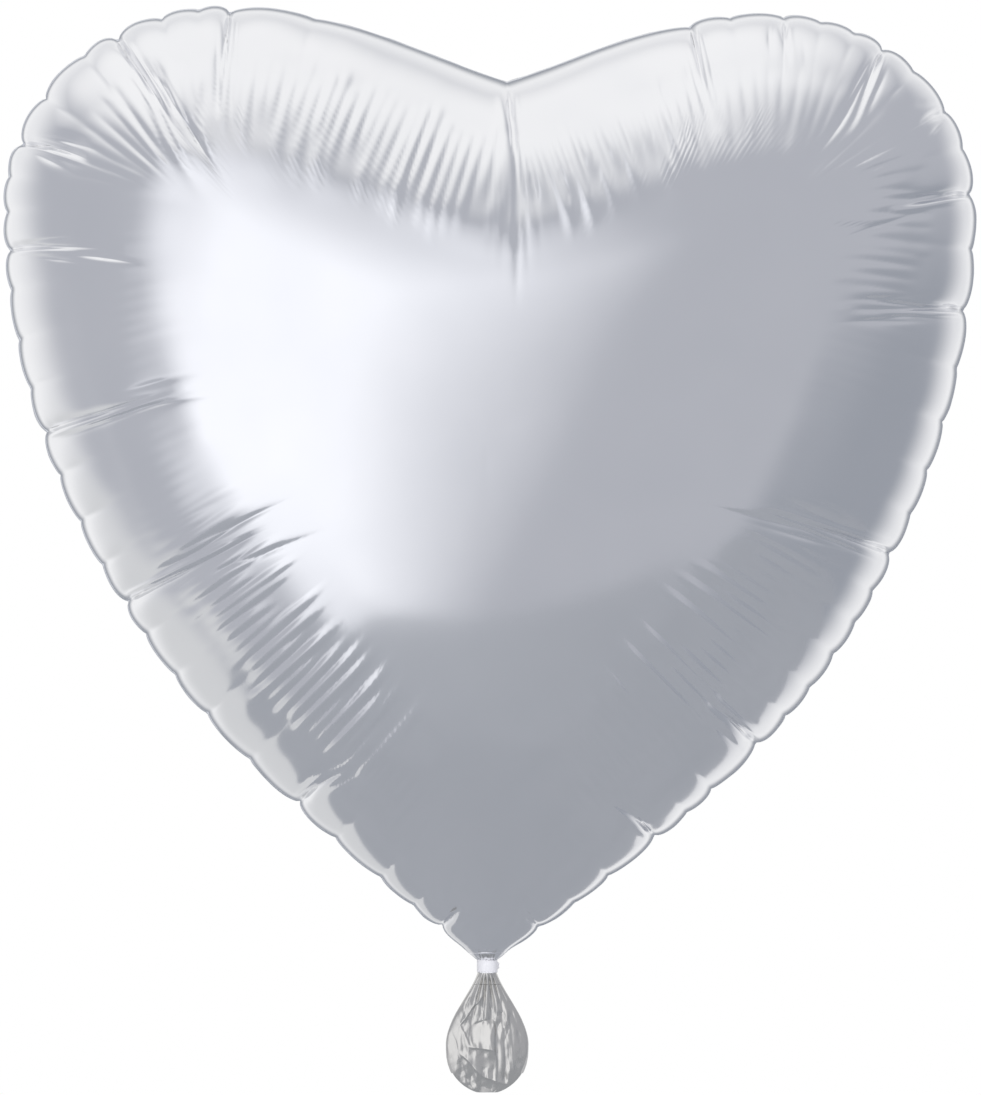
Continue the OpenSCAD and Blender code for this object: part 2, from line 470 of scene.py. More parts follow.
@dataclass
class WeldLine:
    """The closed line where the two panels meet, as curves from the notch down to the neck."""

    right: tuple[tuple[Point, ...], ...] = (
        ((7.8, 345), (40, 354), (70, 371.5), (109, 371.5)),
        ((109, 371.5), (158, 371.5), (189.5, 338), (189.5, 295)),
        ((189.5, 295), (189.5, 234), (168.5, 170), (131, 117.5)),
        ((131, 117.5), (103, 78.5), (50, 37), (7.4, 8)),
    )
    left: tuple[tuple[Point, ...], ...] = (
        ((7.8, 345), (-24, 353.5), (-58, 374.5), (-102, 374.5)),
        ((-102, 374.5), (-151, 374.5), (-187.5, 340), (-187.5, 297)),
        ((-187.5, 297), (-187.5, 232), (-163, 170), (-124, 118.5)),
        ((-124, 118.5), (-96.5, 79.5), (-43.5, 38), (-7.4, 8)),
    )
    pleat_depth: float = 35.0
    step: float = 0.4
    sides: dict[int, dict[str, Array]] = field(default_factory=dict)

    def __post_init__(self) -> None:
        """Samples both sides finely and works out their lengths."""
        for sign, curves in ((1, self.right), (-1, self.left)):
            line = np.vstack([bezier(c, 500) for c in curves] + [np.array([curves[-1][-1]], float)])
            run = np.r_[0.0, np.cumsum(np.linalg.norm(np.diff(line, axis=0), axis=1))]
            count = int(run[-1] / self.step)
            along = np.linspace(0.0, run[-1], count)
            place = np.c_[np.interp(along, run, line[:, 0]), np.interp(along, run, line[:, 1])]
            tangent = unit(np.gradient(place, axis=0))
            inward = np.c_[tangent[:, 1], -tangent[:, 0]] * sign
            offset = place + inward * self.pleat_depth
            stride = np.einsum("ij,ij->i", np.diff(offset, axis=0), tangent[:-1])
            fan = self.pleat_depth * abs(math.atan2(inward[0, 0], -inward[0, 1]))
            pleat = fan + np.r_[0.0, np.cumsum(np.maximum(stride, 0.0))]
            self.sides[sign] = {
                "place": place,
                "tangent": tangent,
                "inward": inward,
                "along": along,
                "pleat": pleat,
            }

    def length(self, sign: int) -> float:
        """The length of one side, in mm: 1 is the right and -1 the left."""
        return float(self.sides[sign]["along"][-1])

    def at(self, sign: int, along: Array, name: str = "place") -> Array:
        """Looks up a place, tangent or inward direction on one side."""
        side = self.sides[sign]
        return np.stack([np.interp(along, side["along"], side[name][:, k]) for k in (0, 1)], axis=-1)

    def loop(self, spacing: float) -> tuple[Array, Array]:
        """Points all round the weld line, from the notch down the right and up the left.

        Args:
            spacing: the distance between them, in mm.

        Returns:
            Their places, and how far each is round the line, negative on the left.
        """
        right = np.linspace(0.0, self.length(1), int(self.length(1) / spacing))
        left = np.linspace(self.length(-1), 0.0, int(self.length(-1) / spacing))[:-1]
        return np.vstack([self.at(1, right), self.at(-1, left)]), np.r_[right, -left]

    def feet(self, points: Array) -> Foot:
        """Finds each point's nearest place on the weld line.

        Args:
            points: rows of X and Z, in mm.

        Returns:
            The distances and places, as a Foot.
        """
        right, left = self.sides[1], self.sides[-1]
        line = np.vstack([right["place"], left["place"]])
        tree = kdtree.KDTree(len(line))
        for number, place in enumerate(line):
            tree.insert((place[0], place[1], 0.0), number)
        tree.balance()
        nearest = np.array([tree.find((p[0], p[1], 0.0))[1] for p in points])
        first = len(right["place"])
        on_left = nearest >= first
        tangent = np.vstack([right["tangent"], left["tangent"]])[nearest]
        run = np.r_[right["along"], left["along"]][nearest]
        offset = points - line[nearest]
        slip = np.einsum("ij,ij->i", offset, tangent)
        along = run + slip
        deep = np.linalg.norm(offset - slip[:, None] * tangent, axis=1)
        pleat = np.where(
            on_left,
            -np.interp(along, left["along"], left["pleat"]),
            np.interp(along, right["along"], right["pleat"]),
        )
        notch = line[0]
        swing = np.arctan2(points[:, 0] - notch[0], notch[1] - points[:, 1])
        fan = along < 0.0
        deep = np.where(fan, np.linalg.norm(points - notch, axis=1), deep)
        fan_pleat = np.clip(self.pleat_depth * swing, -left["pleat"][0], right["pleat"][0])
        pleat = np.where(fan, fan_pleat, pleat)
        along = np.where(fan, 0.0, np.where(on_left, -along, along))
        return Foot(deep, along, pleat, points)

    def pleat_at(self, sign: int, along: Array) -> Array:
        """The pleat coordinate of places on one side, without its sign."""
        return np.interp(along, self.sides[sign]["along"], self.sides[sign]["pleat"])


# ----------------------------------------------------------------------------- heart's dome


@dataclass
class Dome:
    """How far the air pushes the film out over the flat heart.

    The height follows the soap-film equation on the heart's own outline: a film under even
    pressure, held at its edge. It is solved with point sources set just outside the outline.
    """

    weld: WeldLine
    crown: float
    tip: Point = (0.0, 1.5)
    fullness: float = 1.18
    source_gap: float = 11.0
    centre: Point = (0.0, 205.0)
    # The gathered neck draws the panels together: by this share at the tip, fading out upwards.
    tip_draw: float = 0.3
    tip_reach: float = 90.0
    sources: Array = field(init=False)
    strengths: Array = field(init=False)
    peak: float = field(init=False)

    def __post_init__(self) -> None:
        """Solves for the strengths of the sources."""
        loop, along = self.weld.loop(2.4)
        near_tip = np.linspace(0.0, 1.0, 8)[1:-1, None]
        cap = [
            np.array(side[-1][-1]) * (1 - near_tip) + np.array(self.tip) * near_tip
            for side in (self.weld.right, self.weld.left)
        ]
        rim = np.vstack([loop, *cap, np.array([self.tip])])
        normals = []
        for sign in (1, -1):
            pick = along[::3] >= 0 if sign == 1 else along[::3] < 0
            at = np.abs(along[::3][pick])
            normals.append(self.weld.at(sign, at) - self.source_gap * self.weld.at(sign, at, "inward"))
        notch = np.array(self.weld.right[0][0])
        over_notch = [notch + (0.0, d) for d in (0.6, 1.5, 3.0, 6.0)]
        under_tip = [np.array(self.tip) - (0.0, d) for d in (1.0, 2.5, 5.0, 9.0)]
        self.sources = np.vstack([*normals, over_notch, under_tip])
        matrix = np.log(self._reach(rim))
        target = ((rim - self.centre) ** 2).sum(1) / 4.0
        self.strengths = np.linalg.lstsq(matrix, target, rcond=1e-9)[0]
        probe = np.stack(np.meshgrid(np.linspace(-60, 60, 41), np.linspace(150, 290, 41)), -1)
        self.peak = float(self._film(probe.reshape(-1, 2))[0].max())

    def _reach(self, points: Array) -> Array:
        """Distances from every point to every source."""
        gap = points[:, None, :] - self.sources[None, :, :]
        return np.sqrt((gap**2).sum(2))

    def _film(self, points: Array) -> tuple[Array, Array]:
        """The film's own height and slope before they are scaled.

        Args:
            points: rows of X and Z.

        Returns:
            One height for each point, and one slope of two parts.
        """
        height = np.empty(len(points))
        slope = np.empty((len(points), 2))
        for low in range(0, len(points), 8000):
            part = points[low : low + 8000]
            gap = part[:, None, :] - self.sources[None, :, :]
            square = (gap**2).sum(2)
            height[low : low + 8000] = 0.5 * np.log(square) @ self.strengths
            height[low : low + 8000] -= ((part - self.centre) ** 2).sum(1) / 4.0
            slope[low : low + 8000] = np.einsum("ijk,ij,j->ik", gap, 1.0 / square, self.strengths)
            slope[low : low + 8000] -= (part - self.centre) / 2.0
        return height, slope

    def height(self, points: Array, deep: Array) -> tuple[Array, Array]:
        """How far the film stands out, and which way it faces.

        Args:
            points: rows of X and Z, in mm.
            deep: how far inside the weld each lies, in mm.

        Returns:
            The heights in mm, and outward directions for a panel that faces -Y.
        """
        film, slope = self._film(points)
        edge = 1.0 - np.exp(-deep / 0.3)
        share = np.clip(film * edge / self.peak, 1e-7, 1.0)
        left_over = np.clip(1.0 - share, 0.0, 1.0)
        rise = np.sqrt(np.maximum(1.0 - left_over**self.fullness, 1e-9))
        tilt = 0.5 / rise * self.fullness * left_over ** (self.fullness - 1.0)
        up = np.clip(points[:, 1] / self.tip_reach, 0.0, 1.0)
        draw = 1.0 - self.tip_draw * ease(1.0, 0.0, up)
        draw_slope = self.tip_draw * 6.0 * up * (1.0 - up) / self.tip_reach
        height = self.crown * rise
        gradient = slope * (self.crown * tilt * draw / self.peak)[:, None]
        gradient[:, 1] += height * draw_slope
        facing = np.c_[-gradient[:, 0], -np.ones(len(points)), -gradient[:, 1]]
        return height * draw, unit(facing)


# ------------------------------------------------------------------------- puckers and folds


@dataclass
class Puckers:
    """The puckers, creases and pleats that a flat sheet must take up to be domed."""

    weld: WeldLine
    seed: int
    right_pinches: tuple[Pinch, ...] = (
        Pinch(0.129, 2.6, 46),
        Pinch(0.156, 1.5),
        Pinch(0.192, 2.0, 20, 3),
        Pinch(0.217, 1.4),
        Pinch(0.240, 1.6),
        Pinch(0.262, 2.8, 38, 11),
        Pinch(0.287, 1.6),
        Pinch(0.321, 2.2, 14),
        Pinch(0.348, 1.6),
        Pinch(0.379, 3.2, 36, 7),
        Pinch(0.416, 1.8),
        Pinch(0.457, 3.4, 46, 9),
        Pinch(0.496, 1.5),
        Pinch(0.533, 1.6),
        Pinch(0.567, 1.6),
        Pinch(0.598, 1.3),
        Pinch(0.628, 3.3, 52, 9),
        Pinch(0.655, 1.5),
        Pinch(0.679, 1.3),
        Pinch(0.705, 1.8),
        Pinch(0.732, 1.4),
        Pinch(0.757, 1.5),
        Pinch(0.784, 3.2, 27, 2),
        Pinch(0.827, 1.9),
        Pinch(0.849, 1.3),
        Pinch(0.876, 3.0, 30, 7),
        Pinch(0.917, 1.6),
        Pinch(0.946, 1.2),
        Pinch(0.975, 2.0, 12),
    )
    left_pinches: tuple[Pinch, ...] = (
        Pinch(0.134, 1.3),
        Pinch(0.190, 3.4, 44, 3),
        Pinch(0.210, 1.6),
        Pinch(0.235, 2.4),
        Pinch(0.267, 4.6, 52, -10),
        Pinch(0.291, 2.0),
        Pinch(0.329, 2.8),
        Pinch(0.363, 4.4, 30, -4),
        Pinch(0.386, 1.6),
        Pinch(0.409, 2.0),
        Pinch(0.434, 3.0, 44, 5),
        Pinch(0.460, 1.6),
        Pinch(0.493, 1.7),
        Pinch(0.526, 1.8),
        Pinch(0.556, 3.2, 56, 3),
        Pinch(0.586, 1.8),
        Pinch(0.619, 1.7),
        Pinch(0.651, 1.5),
        Pinch(0.680, 3.4, 60, 7),
        Pinch(0.704, 1.7),
        Pinch(0.737, 1.6),
        Pinch(0.770, 1.9),
        Pinch(0.811, 1.8),
        Pinch(0.854, 3.2, 32, 9),
        Pinch(0.887, 1.9),
        Pinch(0.927, 1.8),
        Pinch(0.955, 1.3),
        Pinch(0.978, 2.4, 20, -2),
    )
    notch_pleat: float = 2.6
    notch_depth: float = 5.0
    side_creases: int = 5
    notch_reach: float = 66.0
    # The small creases beside the tuck: how far to its right, their slant, how deep in their
    # middle lies, and how far they sink.
    notch_branches: tuple[tuple[float, float, float, float], ...] = (
        (3.0, 0.10, 52.0, 1.0),
        (-3.6, -0.08, 50.0, 0.9),
        (6.4, 0.16, 44.0, 0.7),
        (-7.0, -0.12, 46.0, 0.6),
        (1.4, -0.06, 62.0, 0.7),
    )
    # The fine pleats: their pitch and height, how deep inside the weld they may begin and end,
    # and how far they may lean for each mm inwards.
    pleat_spacing: float = 4.8
    pleat_height: float = 1.7
    pleat_begin: Point = (15.0, 23.0)
    pleat_end: Point = (48.0, 70.0)
    pleat_lean: float = 0.03
    # Where the pleats are strong: each stretch's strength, its middle as a share of its side,
    # negative on the left, and its half length as such a share.
    pleat_stretches: tuple[Point3, ...] = (
        (1.0, -0.08, 0.13),
        (0.9, 0.06, 0.10),
        (0.85, -0.25, 0.09),
        (0.55, 0.36, 0.06),
        (0.7, 0.44, 0.03),
        (0.75, -0.80, 0.11),
        (0.8, 0.80, 0.10),
        (0.35, 0.2, 0.05),
    )
    # The slack line behind the weld's roll, and how far the roll and the step to the dome rise.
    groove_depth: float = 1.0
    roll_rise: float = 0.35
    step_rise: float = 0.5
    # How far the air rolls the film's edge out past the flat weld line.
    roll_out: float = 2.0

    def _side_pinches(self, sign: int) -> tuple[Pinch, ...]:
        """The pinches of one side."""
        return self.right_pinches if sign == 1 else self.left_pinches

    def scallop(self, along: Array) -> Array:
        """How far the weld dips in between and at the pinches.

        Args:
            along: places round the weld, negative on the left.

        Returns:
            The dip in mm: 0 at the top of each bulge and the pinch's depth at each pinch.
        """
        dip = np.zeros_like(along)
        for sign in (1, -1):
            here = along >= 0 if sign == 1 else along < 0
            length = self.weld.length(sign)
            pinches = self._side_pinches(sign)
            at = np.array([0.0] + [p.share for p in pinches] + [1.0]) * length
            depth = np.array([0.6] + [p.depth for p in pinches] + [0.0])
            x = np.abs(along[here])
            slot = np.clip(np.searchsorted(at, x, side="right") - 1, 0, len(at) - 2)
            part = np.clip((x - at[slot]) / (at[slot + 1] - at[slot]), 0.0, 1.0)
            arch = np.sin(np.pi * part) ** 0.5
            dip[here] = (depth[slot] * (1 - part) + depth[slot + 1] * part) * (1.0 - arch)
        return dip

    def bulge_length(self, along: Array) -> Array:
        """How wide the bulge is in which each place lies, in mm."""
        width = np.zeros_like(along)
        for sign in (1, -1):
            here = along >= 0 if sign == 1 else along < 0
            at = np.array([0.0] + [p.share for p in self._side_pinches(sign)] + [1.0])
            at *= self.weld.length(sign)
            slot = np.clip(np.searchsorted(at, np.abs(along[here]), side="right") - 1, 0, len(at) - 2)
            width[here] = at[slot + 1] - at[slot]
        return width

    def _across(self, foot: Foot, sign: int, centre: Array) -> Array:
        """How far each point lies to the side of a line that runs in from one side's weld.

        Args:
            foot: where each point lies.
            sign: the side: 1 is the right and -1 the left.
            centre: where the line is round the weld at each point's own depth.

        Returns:
            The distances in mm, far off for points of the other side.
        """
        level = foot.along * sign - centre
        inner = foot.pleat * sign - self.weld.pleat_at(sign, centre)
        across = level + (inner - level) * foot.deep / self.weld.pleat_depth
        return np.where(foot.along * sign > 0, across, 1e3)

    def _creases(self, foot: Foot) -> Array:
        """The long creases that run in from the deeper pinches, and the small ones beside them.

        Args:
            foot: where each point lies.

        Returns:
            How far each point sinks, in mm.
        """
        sink = np.zeros_like(foot.deep)
        rng = np.random.default_rng(self.seed)
        for sign in (1, -1):
            for pinch in (p for p in self._side_pinches(sign) if p.reach > 0):
                bend, lop = rng.uniform(-1.5, 1.5), rng.choice([-1.0, 1.0])
                inward = foot.deep / pinch.reach
                at = pinch.share * self.weld.length(sign)
                centre = at + pinch.drift * inward**1.4 + bend * np.sin(np.pi * inward)
                across = self._across(foot, sign, centre)
                fade = np.clip(1.0 - inward, 0.0, 1.0) ** 0.7
                valley = np.exp(-np.abs(across) / (0.9 + 1.1 * np.clip(inward, 0.0, 1.0)))
                fold = bell(across, 2.1 * lop, 1.2)
                shoulder = np.exp(-np.abs(across) / 8.0)
                sink += fade * pinch.depth * (0.62 * valley + 0.34 * shoulder - 0.34 * fold)
                for _ in range(self.side_creases):
                    middle, half = rng.uniform(0.35, 1.0), rng.uniform(0.16, 0.34)
                    shift = rng.uniform(2.0, 8.0) * rng.choice([-1.0, 1.0])
                    slant = rng.uniform(-0.12, 0.12)
                    depth = rng.uniform(0.12, 0.30) * pinch.depth
                    line = across - shift * (0.6 + 0.4 * inward)
                    line = line - slant * (foot.deep - middle * pinch.reach)
                    sink += depth * bell(inward, middle, half) * np.exp(-np.abs(line) / 0.9)
        return sink

    def _notch(self, foot: Foot) -> Array:
        """The deep tuck that runs down from the notch, and the small creases beside it.

        Args:
            foot: where each point lies.

        Returns:
            How far each point sinks, in mm.
        """
        inward = foot.deep / self.notch_reach
        line = self.notch_pleat + 1.2 * np.sin(4.2 * inward)
        across = (foot.pleat - line) * foot.deep / self.weld.pleat_depth
        across = np.where(np.abs(foot.along) > 1e-6, across + foot.along, across)
        fade = np.clip(1.0 - inward, 0.0, 1.0)
        valley = np.exp(-np.abs(across) / (0.8 + 1.0 * np.clip(inward, 0.0, 1.0)))
        hollow = np.exp(-np.abs(across) / 12.0)
        lip = bell(across, 2.9, 1.6) + bell(across, -3.3, 1.9)
        sink = fade**0.6 * self.notch_depth * (0.55 * valley + 0.3 * hollow - 0.14 * lip)
        for start, slant, middle, depth in self.notch_branches:
            branch = across - start - slant * (foot.deep - middle)
            sink += depth * bell(foot.deep, middle, 13.0) * np.exp(-np.abs(branch) / 0.9)
        return sink

    def _pleats(self, foot: Foot) -> Array:
        """The fine pleats that stand in a band inside the weld.

        Args:
            foot: where each point lies.

        Returns:
            How far each point sinks, in mm.
        """
        rng = np.random.default_rng(self.seed + 7)
        low, high = float(foot.pleat.min()) - 20.0, float(foot.pleat.max()) + 20.0
        count = int((high - low) / self.pleat_spacing)
        places = low + (np.arange(count) + rng.uniform(-0.16, 0.16, count)) * self.pleat_spacing
        begin = rng.uniform(*self.pleat_begin, count)
        end = rng.uniform(*self.pleat_end, count)
        height = rng.uniform(0.45, 1.0, count)
        lean = rng.uniform(-self.pleat_lean, self.pleat_lean, count)
        slot = np.clip(np.searchsorted(places, foot.pleat), 1, count - 1)
        slot -= (foot.pleat - places[slot - 1]) < (places[slot] - foot.pleat)
        across = foot.pleat - places[slot] - lean[slot] * (foot.deep - self.weld.pleat_depth)
        shape = np.cos(np.clip(across / self.pleat_spacing, -0.5, 0.5) * np.pi) ** 0.8
        band = ease(0.0, 5.0, foot.deep - begin[slot]) * ease(0.0, 15.0, end[slot] - foot.deep)
        band = band * (0.6 + 0.4 * ease(24.0, 38.0, foot.deep))
        return -self.pleat_height * self.pleating(foot.along) * height[slot] * shape * band

    def pleating(self, along: Array) -> Array:
        """How strongly the film is pleated at each place round the weld, from 0 to 1."""
        share = np.where(along >= 0, along / self.weld.length(1), along / self.weld.length(-1))
        strong = sum(most * bell(share, middle, half) for most, middle, half in self.pleat_stretches)
        patchy = 0.8 + 0.35 * wander(along, 19.0, self.seed + 3)
        return np.clip(strong, 0.05, 1.0) * patchy * ease(0.99, 0.93, np.abs(share))

    def _swell(self, foot: Foot) -> Array:
        """The round roll at the weld, the slack line behind it, and the step up to the dome."""
        share = np.abs(foot.along) / self.weld.length(1)
        calm = ease(1.0, 0.9, share)
        wobble = 1.0 + 0.55 * wander(foot.along, 17.0, self.seed + 11)
        groove = self.groove_depth * (0.2 + 0.8 * self.pleating(foot.along)) * bell(foot.deep, 22.0, 5.0)
        roll = self.roll_rise * bell(foot.deep, 11.0, 7.0)
        step = self.step_rise * bell(foot.deep, 58.0, 9.0)
        return (groove - roll - step) * wobble * calm - self.roll_out * np.exp(-foot.deep / 18.0)

    def sink(self, foot: Foot) -> Array:
        """All the puckers together.

        Args:
            foot: where each point lies.

        Returns:
            How far each point sinks against its own outward direction, in mm.
        """
        width = np.clip(self.bulge_length(foot.along) * 0.42, 6.0, 17.0)
        dip = self.scallop(foot.along) * np.exp(-foot.deep / width)
        folds = self._creases(foot) * ease(0.0, 4.5, foot.deep)
        folds = folds + self._notch(foot) * ease(-1.0, 12.0, foot.deep)
        low_part = ease(150.0, 110.0, foot.place[:, 1])
        clear = 1.0 - low_part * ease(24.0, 5.0, np.abs(foot.place[:, 0])) * ease(6.0, 14.0, foot.deep)
        return (dip + folds + self._pleats(foot) + self._swell(foot)) * clear


# --------------------------------------------------------------------------------- the heart


@dataclass
class Heart:
    """The inflated heart: two film panels and the puckered weld between them."""

    film: bpy.types.Material
    weld_film: bpy.types.Material
    weld: WeldLine = field(default_factory=WeldLine)
    # How many columns of points stand round each panel's edge, how many of those cross the open
    # throat, and how many rows lie between the edge and the crown.
    columns: int = 1480
    throat_columns: int = 34
    rows: int = 60
    # The lining's gap behind the deepest crease, and how many columns and rows it skips.
    wall: float = 0.6
    lining_columns: int = 4
    lining_rows: int = 2
    # Columns set out square to the weld, as the pleats do, and turn to the crown further in.
    straight: float = 72.0
    # How often the columns' directions and their straight lengths are evened out.
    fan_rounds: int = 120
    straight_rounds: int = 40
    # How far inside the CAD panel the film's crown stays.
    crown_room: float = 0.4
    # The margin in section: how far it stands out past the film, and how far back it is folded.
    margin_path: tuple[Point, ...] = (
        (-1.4, 0.0),
        (0.05, 0.0),
        (0.28, 0.1),
        (0.4, 0.45),
        (0.45, 1.2),
        (0.45, 2.6),
    )
    margin_wall: float = 0.18
    # One panel laid flat, in mm, and its area in square metres.
    panel_width: float = 457.0
    panel_height: float = 452.0
    panel_area: float = 0.147
    dome: Dome = field(init=False)
    # Each panel's free edge across the throat, from right to left, once it is built.
    lips: dict[Side, Array] = field(default_factory=dict)

    def __post_init__(self) -> None:
        """Takes the crown's height from the CAD panel and solves the dome."""
        low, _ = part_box("front_panel")
        self.dome = Dome(self.weld, crown=-low.y / MM - self.crown_room)

    def seam_wave(self, along: Array) -> Array:
        """How far the weld waves out of the heart's middle plane, in mm."""
        calm = ease(1.0, 0.94, np.abs(along) / self.weld.length(1))
        return calm * (0.9 * wander(along, 23.0, 41) + 0.5 * wander(along, 9.0, 42))

    def _spread(self, sign: int, count: int, pinches: Sequence[Pinch]) -> Array:
        """Column places along one side, closer together at the creases.

        Args:
            sign: the side: 1 is the right and -1 the left.
            count: how many columns there are.
            pinches: that side's pinches.

        Returns:
            Distances from the notch, in mm.
        """
        along = np.linspace(0.0, self.weld.length(sign), 4000)
        weight = 1.0 + 0.9 * bell(along, 0.0, 9.0)
        for pinch in (p for p in pinches if p.reach > 0):
            weight += 1.1 * bell(along, pinch.share * self.weld.length(sign) + pinch.drift * 0.4, 8.0)
        total = np.r_[0.0, np.cumsum((weight[1:] + weight[:-1]) / 2)]
        return np.interp(np.linspace(0.0, total[-1], count), total, along)

    def _ring(self) -> tuple[Array, Array]:
        """The panel's edge: the weld line, then the open throat between its two ends.

        Returns:
            The places of the columns, and the direction in which each sets out.
        """
        side = (self.columns - self.throat_columns) // 2
        puckers = Puckers(self.weld, 0)
        right = self._spread(1, side, puckers.right_pinches)
        left = self._spread(-1, side + 1, puckers.left_pinches)[:0:-1]
        ends = [np.array(self.weld.right[-1][-1]), np.array(self.weld.left[-1][-1])]
        part = np.linspace(0.0, 1.0, self.throat_columns + 2)[1:-1, None]
        throat = ends[0] * (1 - part) + ends[1] * part
        place = np.vstack([self.weld.at(1, right), throat, self.weld.at(-1, left)])
        way = [self.weld.at(1, right, "inward"), unit(np.array(self.dome.centre) - throat)]
        way = np.vstack([*way, self.weld.at(-1, left, "inward")])
        for _ in range(self.fan_rounds):
            way = unit(0.25 * np.roll(way, 1, axis=0) + 0.5 * way + 0.25 * np.roll(way, -1, axis=0))
        return place, way

    def _levels(self) -> Array:
        """Shares of the way from the edge to the crown, close together near the edge."""
        rise = np.linspace(0.0, 1.0, self.rows)
        return 1.0 - (0.42 * rise**1.35 + 0.58 * rise**3.6)

    def _surface(self, side: Side, seed: int) -> tuple[Array, Array]:
        """The points of the panel's outer face, and of a lining that lies behind all its creases.

        Args:
            side: the front or the back.
            seed: picks this panel's own pleats.

        Returns:
            The outer and the inner points, level by level from the edge inwards with the crown
            last.
        """
        ring, way = self._ring()
        centre = np.array(self.dome.centre)
        levels = self._levels()[:-1]
        room = np.abs(ring[:, 0]) / np.maximum(np.abs(way[:, 0]), 0.05)
        room = np.where(ring[:, 1] < centre[1], room, self.straight * 4.0)
        straight = np.minimum(self.straight, 0.4 * room)
        for _ in range(self.straight_rounds):
            straight = 0.25 * np.roll(straight, 1) + 0.5 * straight + 0.25 * np.roll(straight, -1)
        bends = (ring, ring + way * straight[:, None], centre + (ring - centre) * 0.30, centre)
        flat = np.vstack([cubic(*bends, 1.0 - share) for share in levels] + [centre[None, :]])
        foot = self.weld.feet(flat)
        height, out = self.dome.height(flat, foot.deep)
        sink = Puckers(self.weld, seed).sink(foot)
        on_seam = ease(2.5, 0.0, foot.deep)[:, None]
        level_out = unit(np.c_[out[:, 0], np.zeros(len(out)), out[:, 2]])
        out = unit(out * (1 - on_seam) + level_out * on_seam)
        deepest = sink[:-1].reshape(len(levels), len(ring))
        for _ in range(3):
            deepest = np.maximum.reduce([np.roll(deepest, k, axis=1) for k in (-2, -1, 0, 1, 2)])
            deepest[1:-1] = np.maximum(deepest[1:-1], np.maximum(deepest[:-2], deepest[2:]))
        behind = np.r_[deepest.ravel(), sink[-1]] + self.wall
        skins = []
        for drop in (sink, behind):
            points = np.c_[flat[:, 0], -height, flat[:, 1]] - out * drop[:, None]
            points[:, 1] = -side.value * np.minimum(points[:, 1], -0.12)
            points[:, 1] += self.seam_wave(foot.along) * np.exp(-foot.deep / 12.0)
            skins.append(points)
        return skins[0], skins[1]

    def _panel(self, name: str, side: Side, seed: int) -> bpy.types.Object:
        """Builds one closed panel: the outer face, and the coarser lining behind it.

        Args:
            name: the piece's name.
            side: the front or the back.
            seed: picks this panel's own pleats.

        Returns:
            The panel.
        """
        outer, lining = self._surface(side, seed)
        first = (self.columns - self.throat_columns) // 2 - 1
        self.lips[side] = outer[first : first + self.throat_columns + 2]
        levels = self.rows - 1
        count = (len(outer) - 1) // levels
        faces = self._cap(levels, count, 0)
        every = self.lining_columns
        coarse_rows = list(range(0, levels, self.lining_rows))
        grid = lining[:-1].reshape(levels, count, 3)[coarse_rows][:, ::every]
        start = len(outer)
        faces += self._cap(grid.shape[0], grid.shape[1], start)
        for i in range(grid.shape[1]):
            p, q = start + i, start + (i + 1) % grid.shape[1]
            edge = [(i * every + k) % count for k in range(every + 1)]
            half = every // 2
            faces += [(edge[k], p, edge[k + 1]) for k in range(half)]
            faces += [(edge[half], p, q)]
            faces += [(edge[k], q, edge[k + 1]) for k in range(half, every)]
        points = np.vstack([outer, grid.reshape(-1, 3), lining[-1:]])
        return new_mesh_object(name, points, faces)

    def _cap(self, levels: int, count: int, start: int) -> Faces:
        """Faces of a grid of rings that closes at one point, which comes after the rings.

        Args:
            levels: how many rings there are.
            count: how many points are in each.
            start: the number of the first point.

        Returns:
            The faces.
        """
        faces = grid_faces(levels, count, start, close_columns=True)
        last, middle = start + (levels - 1) * count, start + levels * count
        return faces + [(last + i, last + (i + 1) % count, middle) for i in range(count)]

    def _margin(self) -> bpy.types.Object:
        """The welded margin: both films pressed flat, folded back behind the seam and puckered.

        Returns:
            The margin, as a closed strip.
        """
        place, along = self.weld.loop(1.1)
        puckers = Puckers(self.weld, 5)
        dip = puckers.scallop(along)
        inward = np.where(
            (along >= 0)[:, None],
            self.weld.at(1, np.abs(along), "inward"),
            self.weld.at(-1, np.abs(along), "inward"),
        )
        blend = bell(along, 0.0, 3.0)[:, None]
        inward = unit(inward * (1 - blend) + np.array([[0.0, -1.0]]) * blend)
        dip = dip - puckers.roll_out
        taper = ease(1.0, 0.985, np.abs(along) / self.weld.length(1))
        frill = 0.2 * wander(along, 4.5, 77) + 0.15 * wander(along, 11.0, 78)
        lines = []
        for out, back in self.margin_path:
            share = back / self.margin_path[-1][1]
            base = place + inward * (dip - (out + frill * share) * taper)[:, None]
            lines.append(np.c_[base[:, 0], self.seam_wave(along) + back, base[:, 1]])
        films = np.stack(lines)
        run = np.gradient(films, axis=0)
        tangent = np.gradient(films, axis=1)
        normals = unit(np.cross(run, tangent))
        half = normals * self.margin_wall / 2
        section = list(films - half) + list((films + half)[::-1])
        first_left = int(np.argmax(along < 0))
        points = np.roll(np.stack(section), -first_left, axis=1)
        ring, count = points.shape[0], points.shape[1]
        faces = grid_faces(ring, count, close_rows=True)
        for end in (0, count - 1):
            faces.append(tuple(k * count + end for k in range(ring)))
        return new_mesh_object("edge_weld_margin", points.reshape(-1, 3), faces)

    def build(self) -> None:
        """Makes the two panels and the margin, and sets them on the balloon body."""
        for node, side, seed in (("front_panel", Side.FRONT, 11), ("back_panel", Side.BACK, 23)):
            panel = self._panel(f"{node}_film", side, seed)
            finish_piece(panel, self.film, [node], "balloon")
        margin = self._margin()
        finish_piece(margin, self.weld_film, ["edge_weld"], "balloon")


# ------------------------------------------------------------------------------ neck and tail


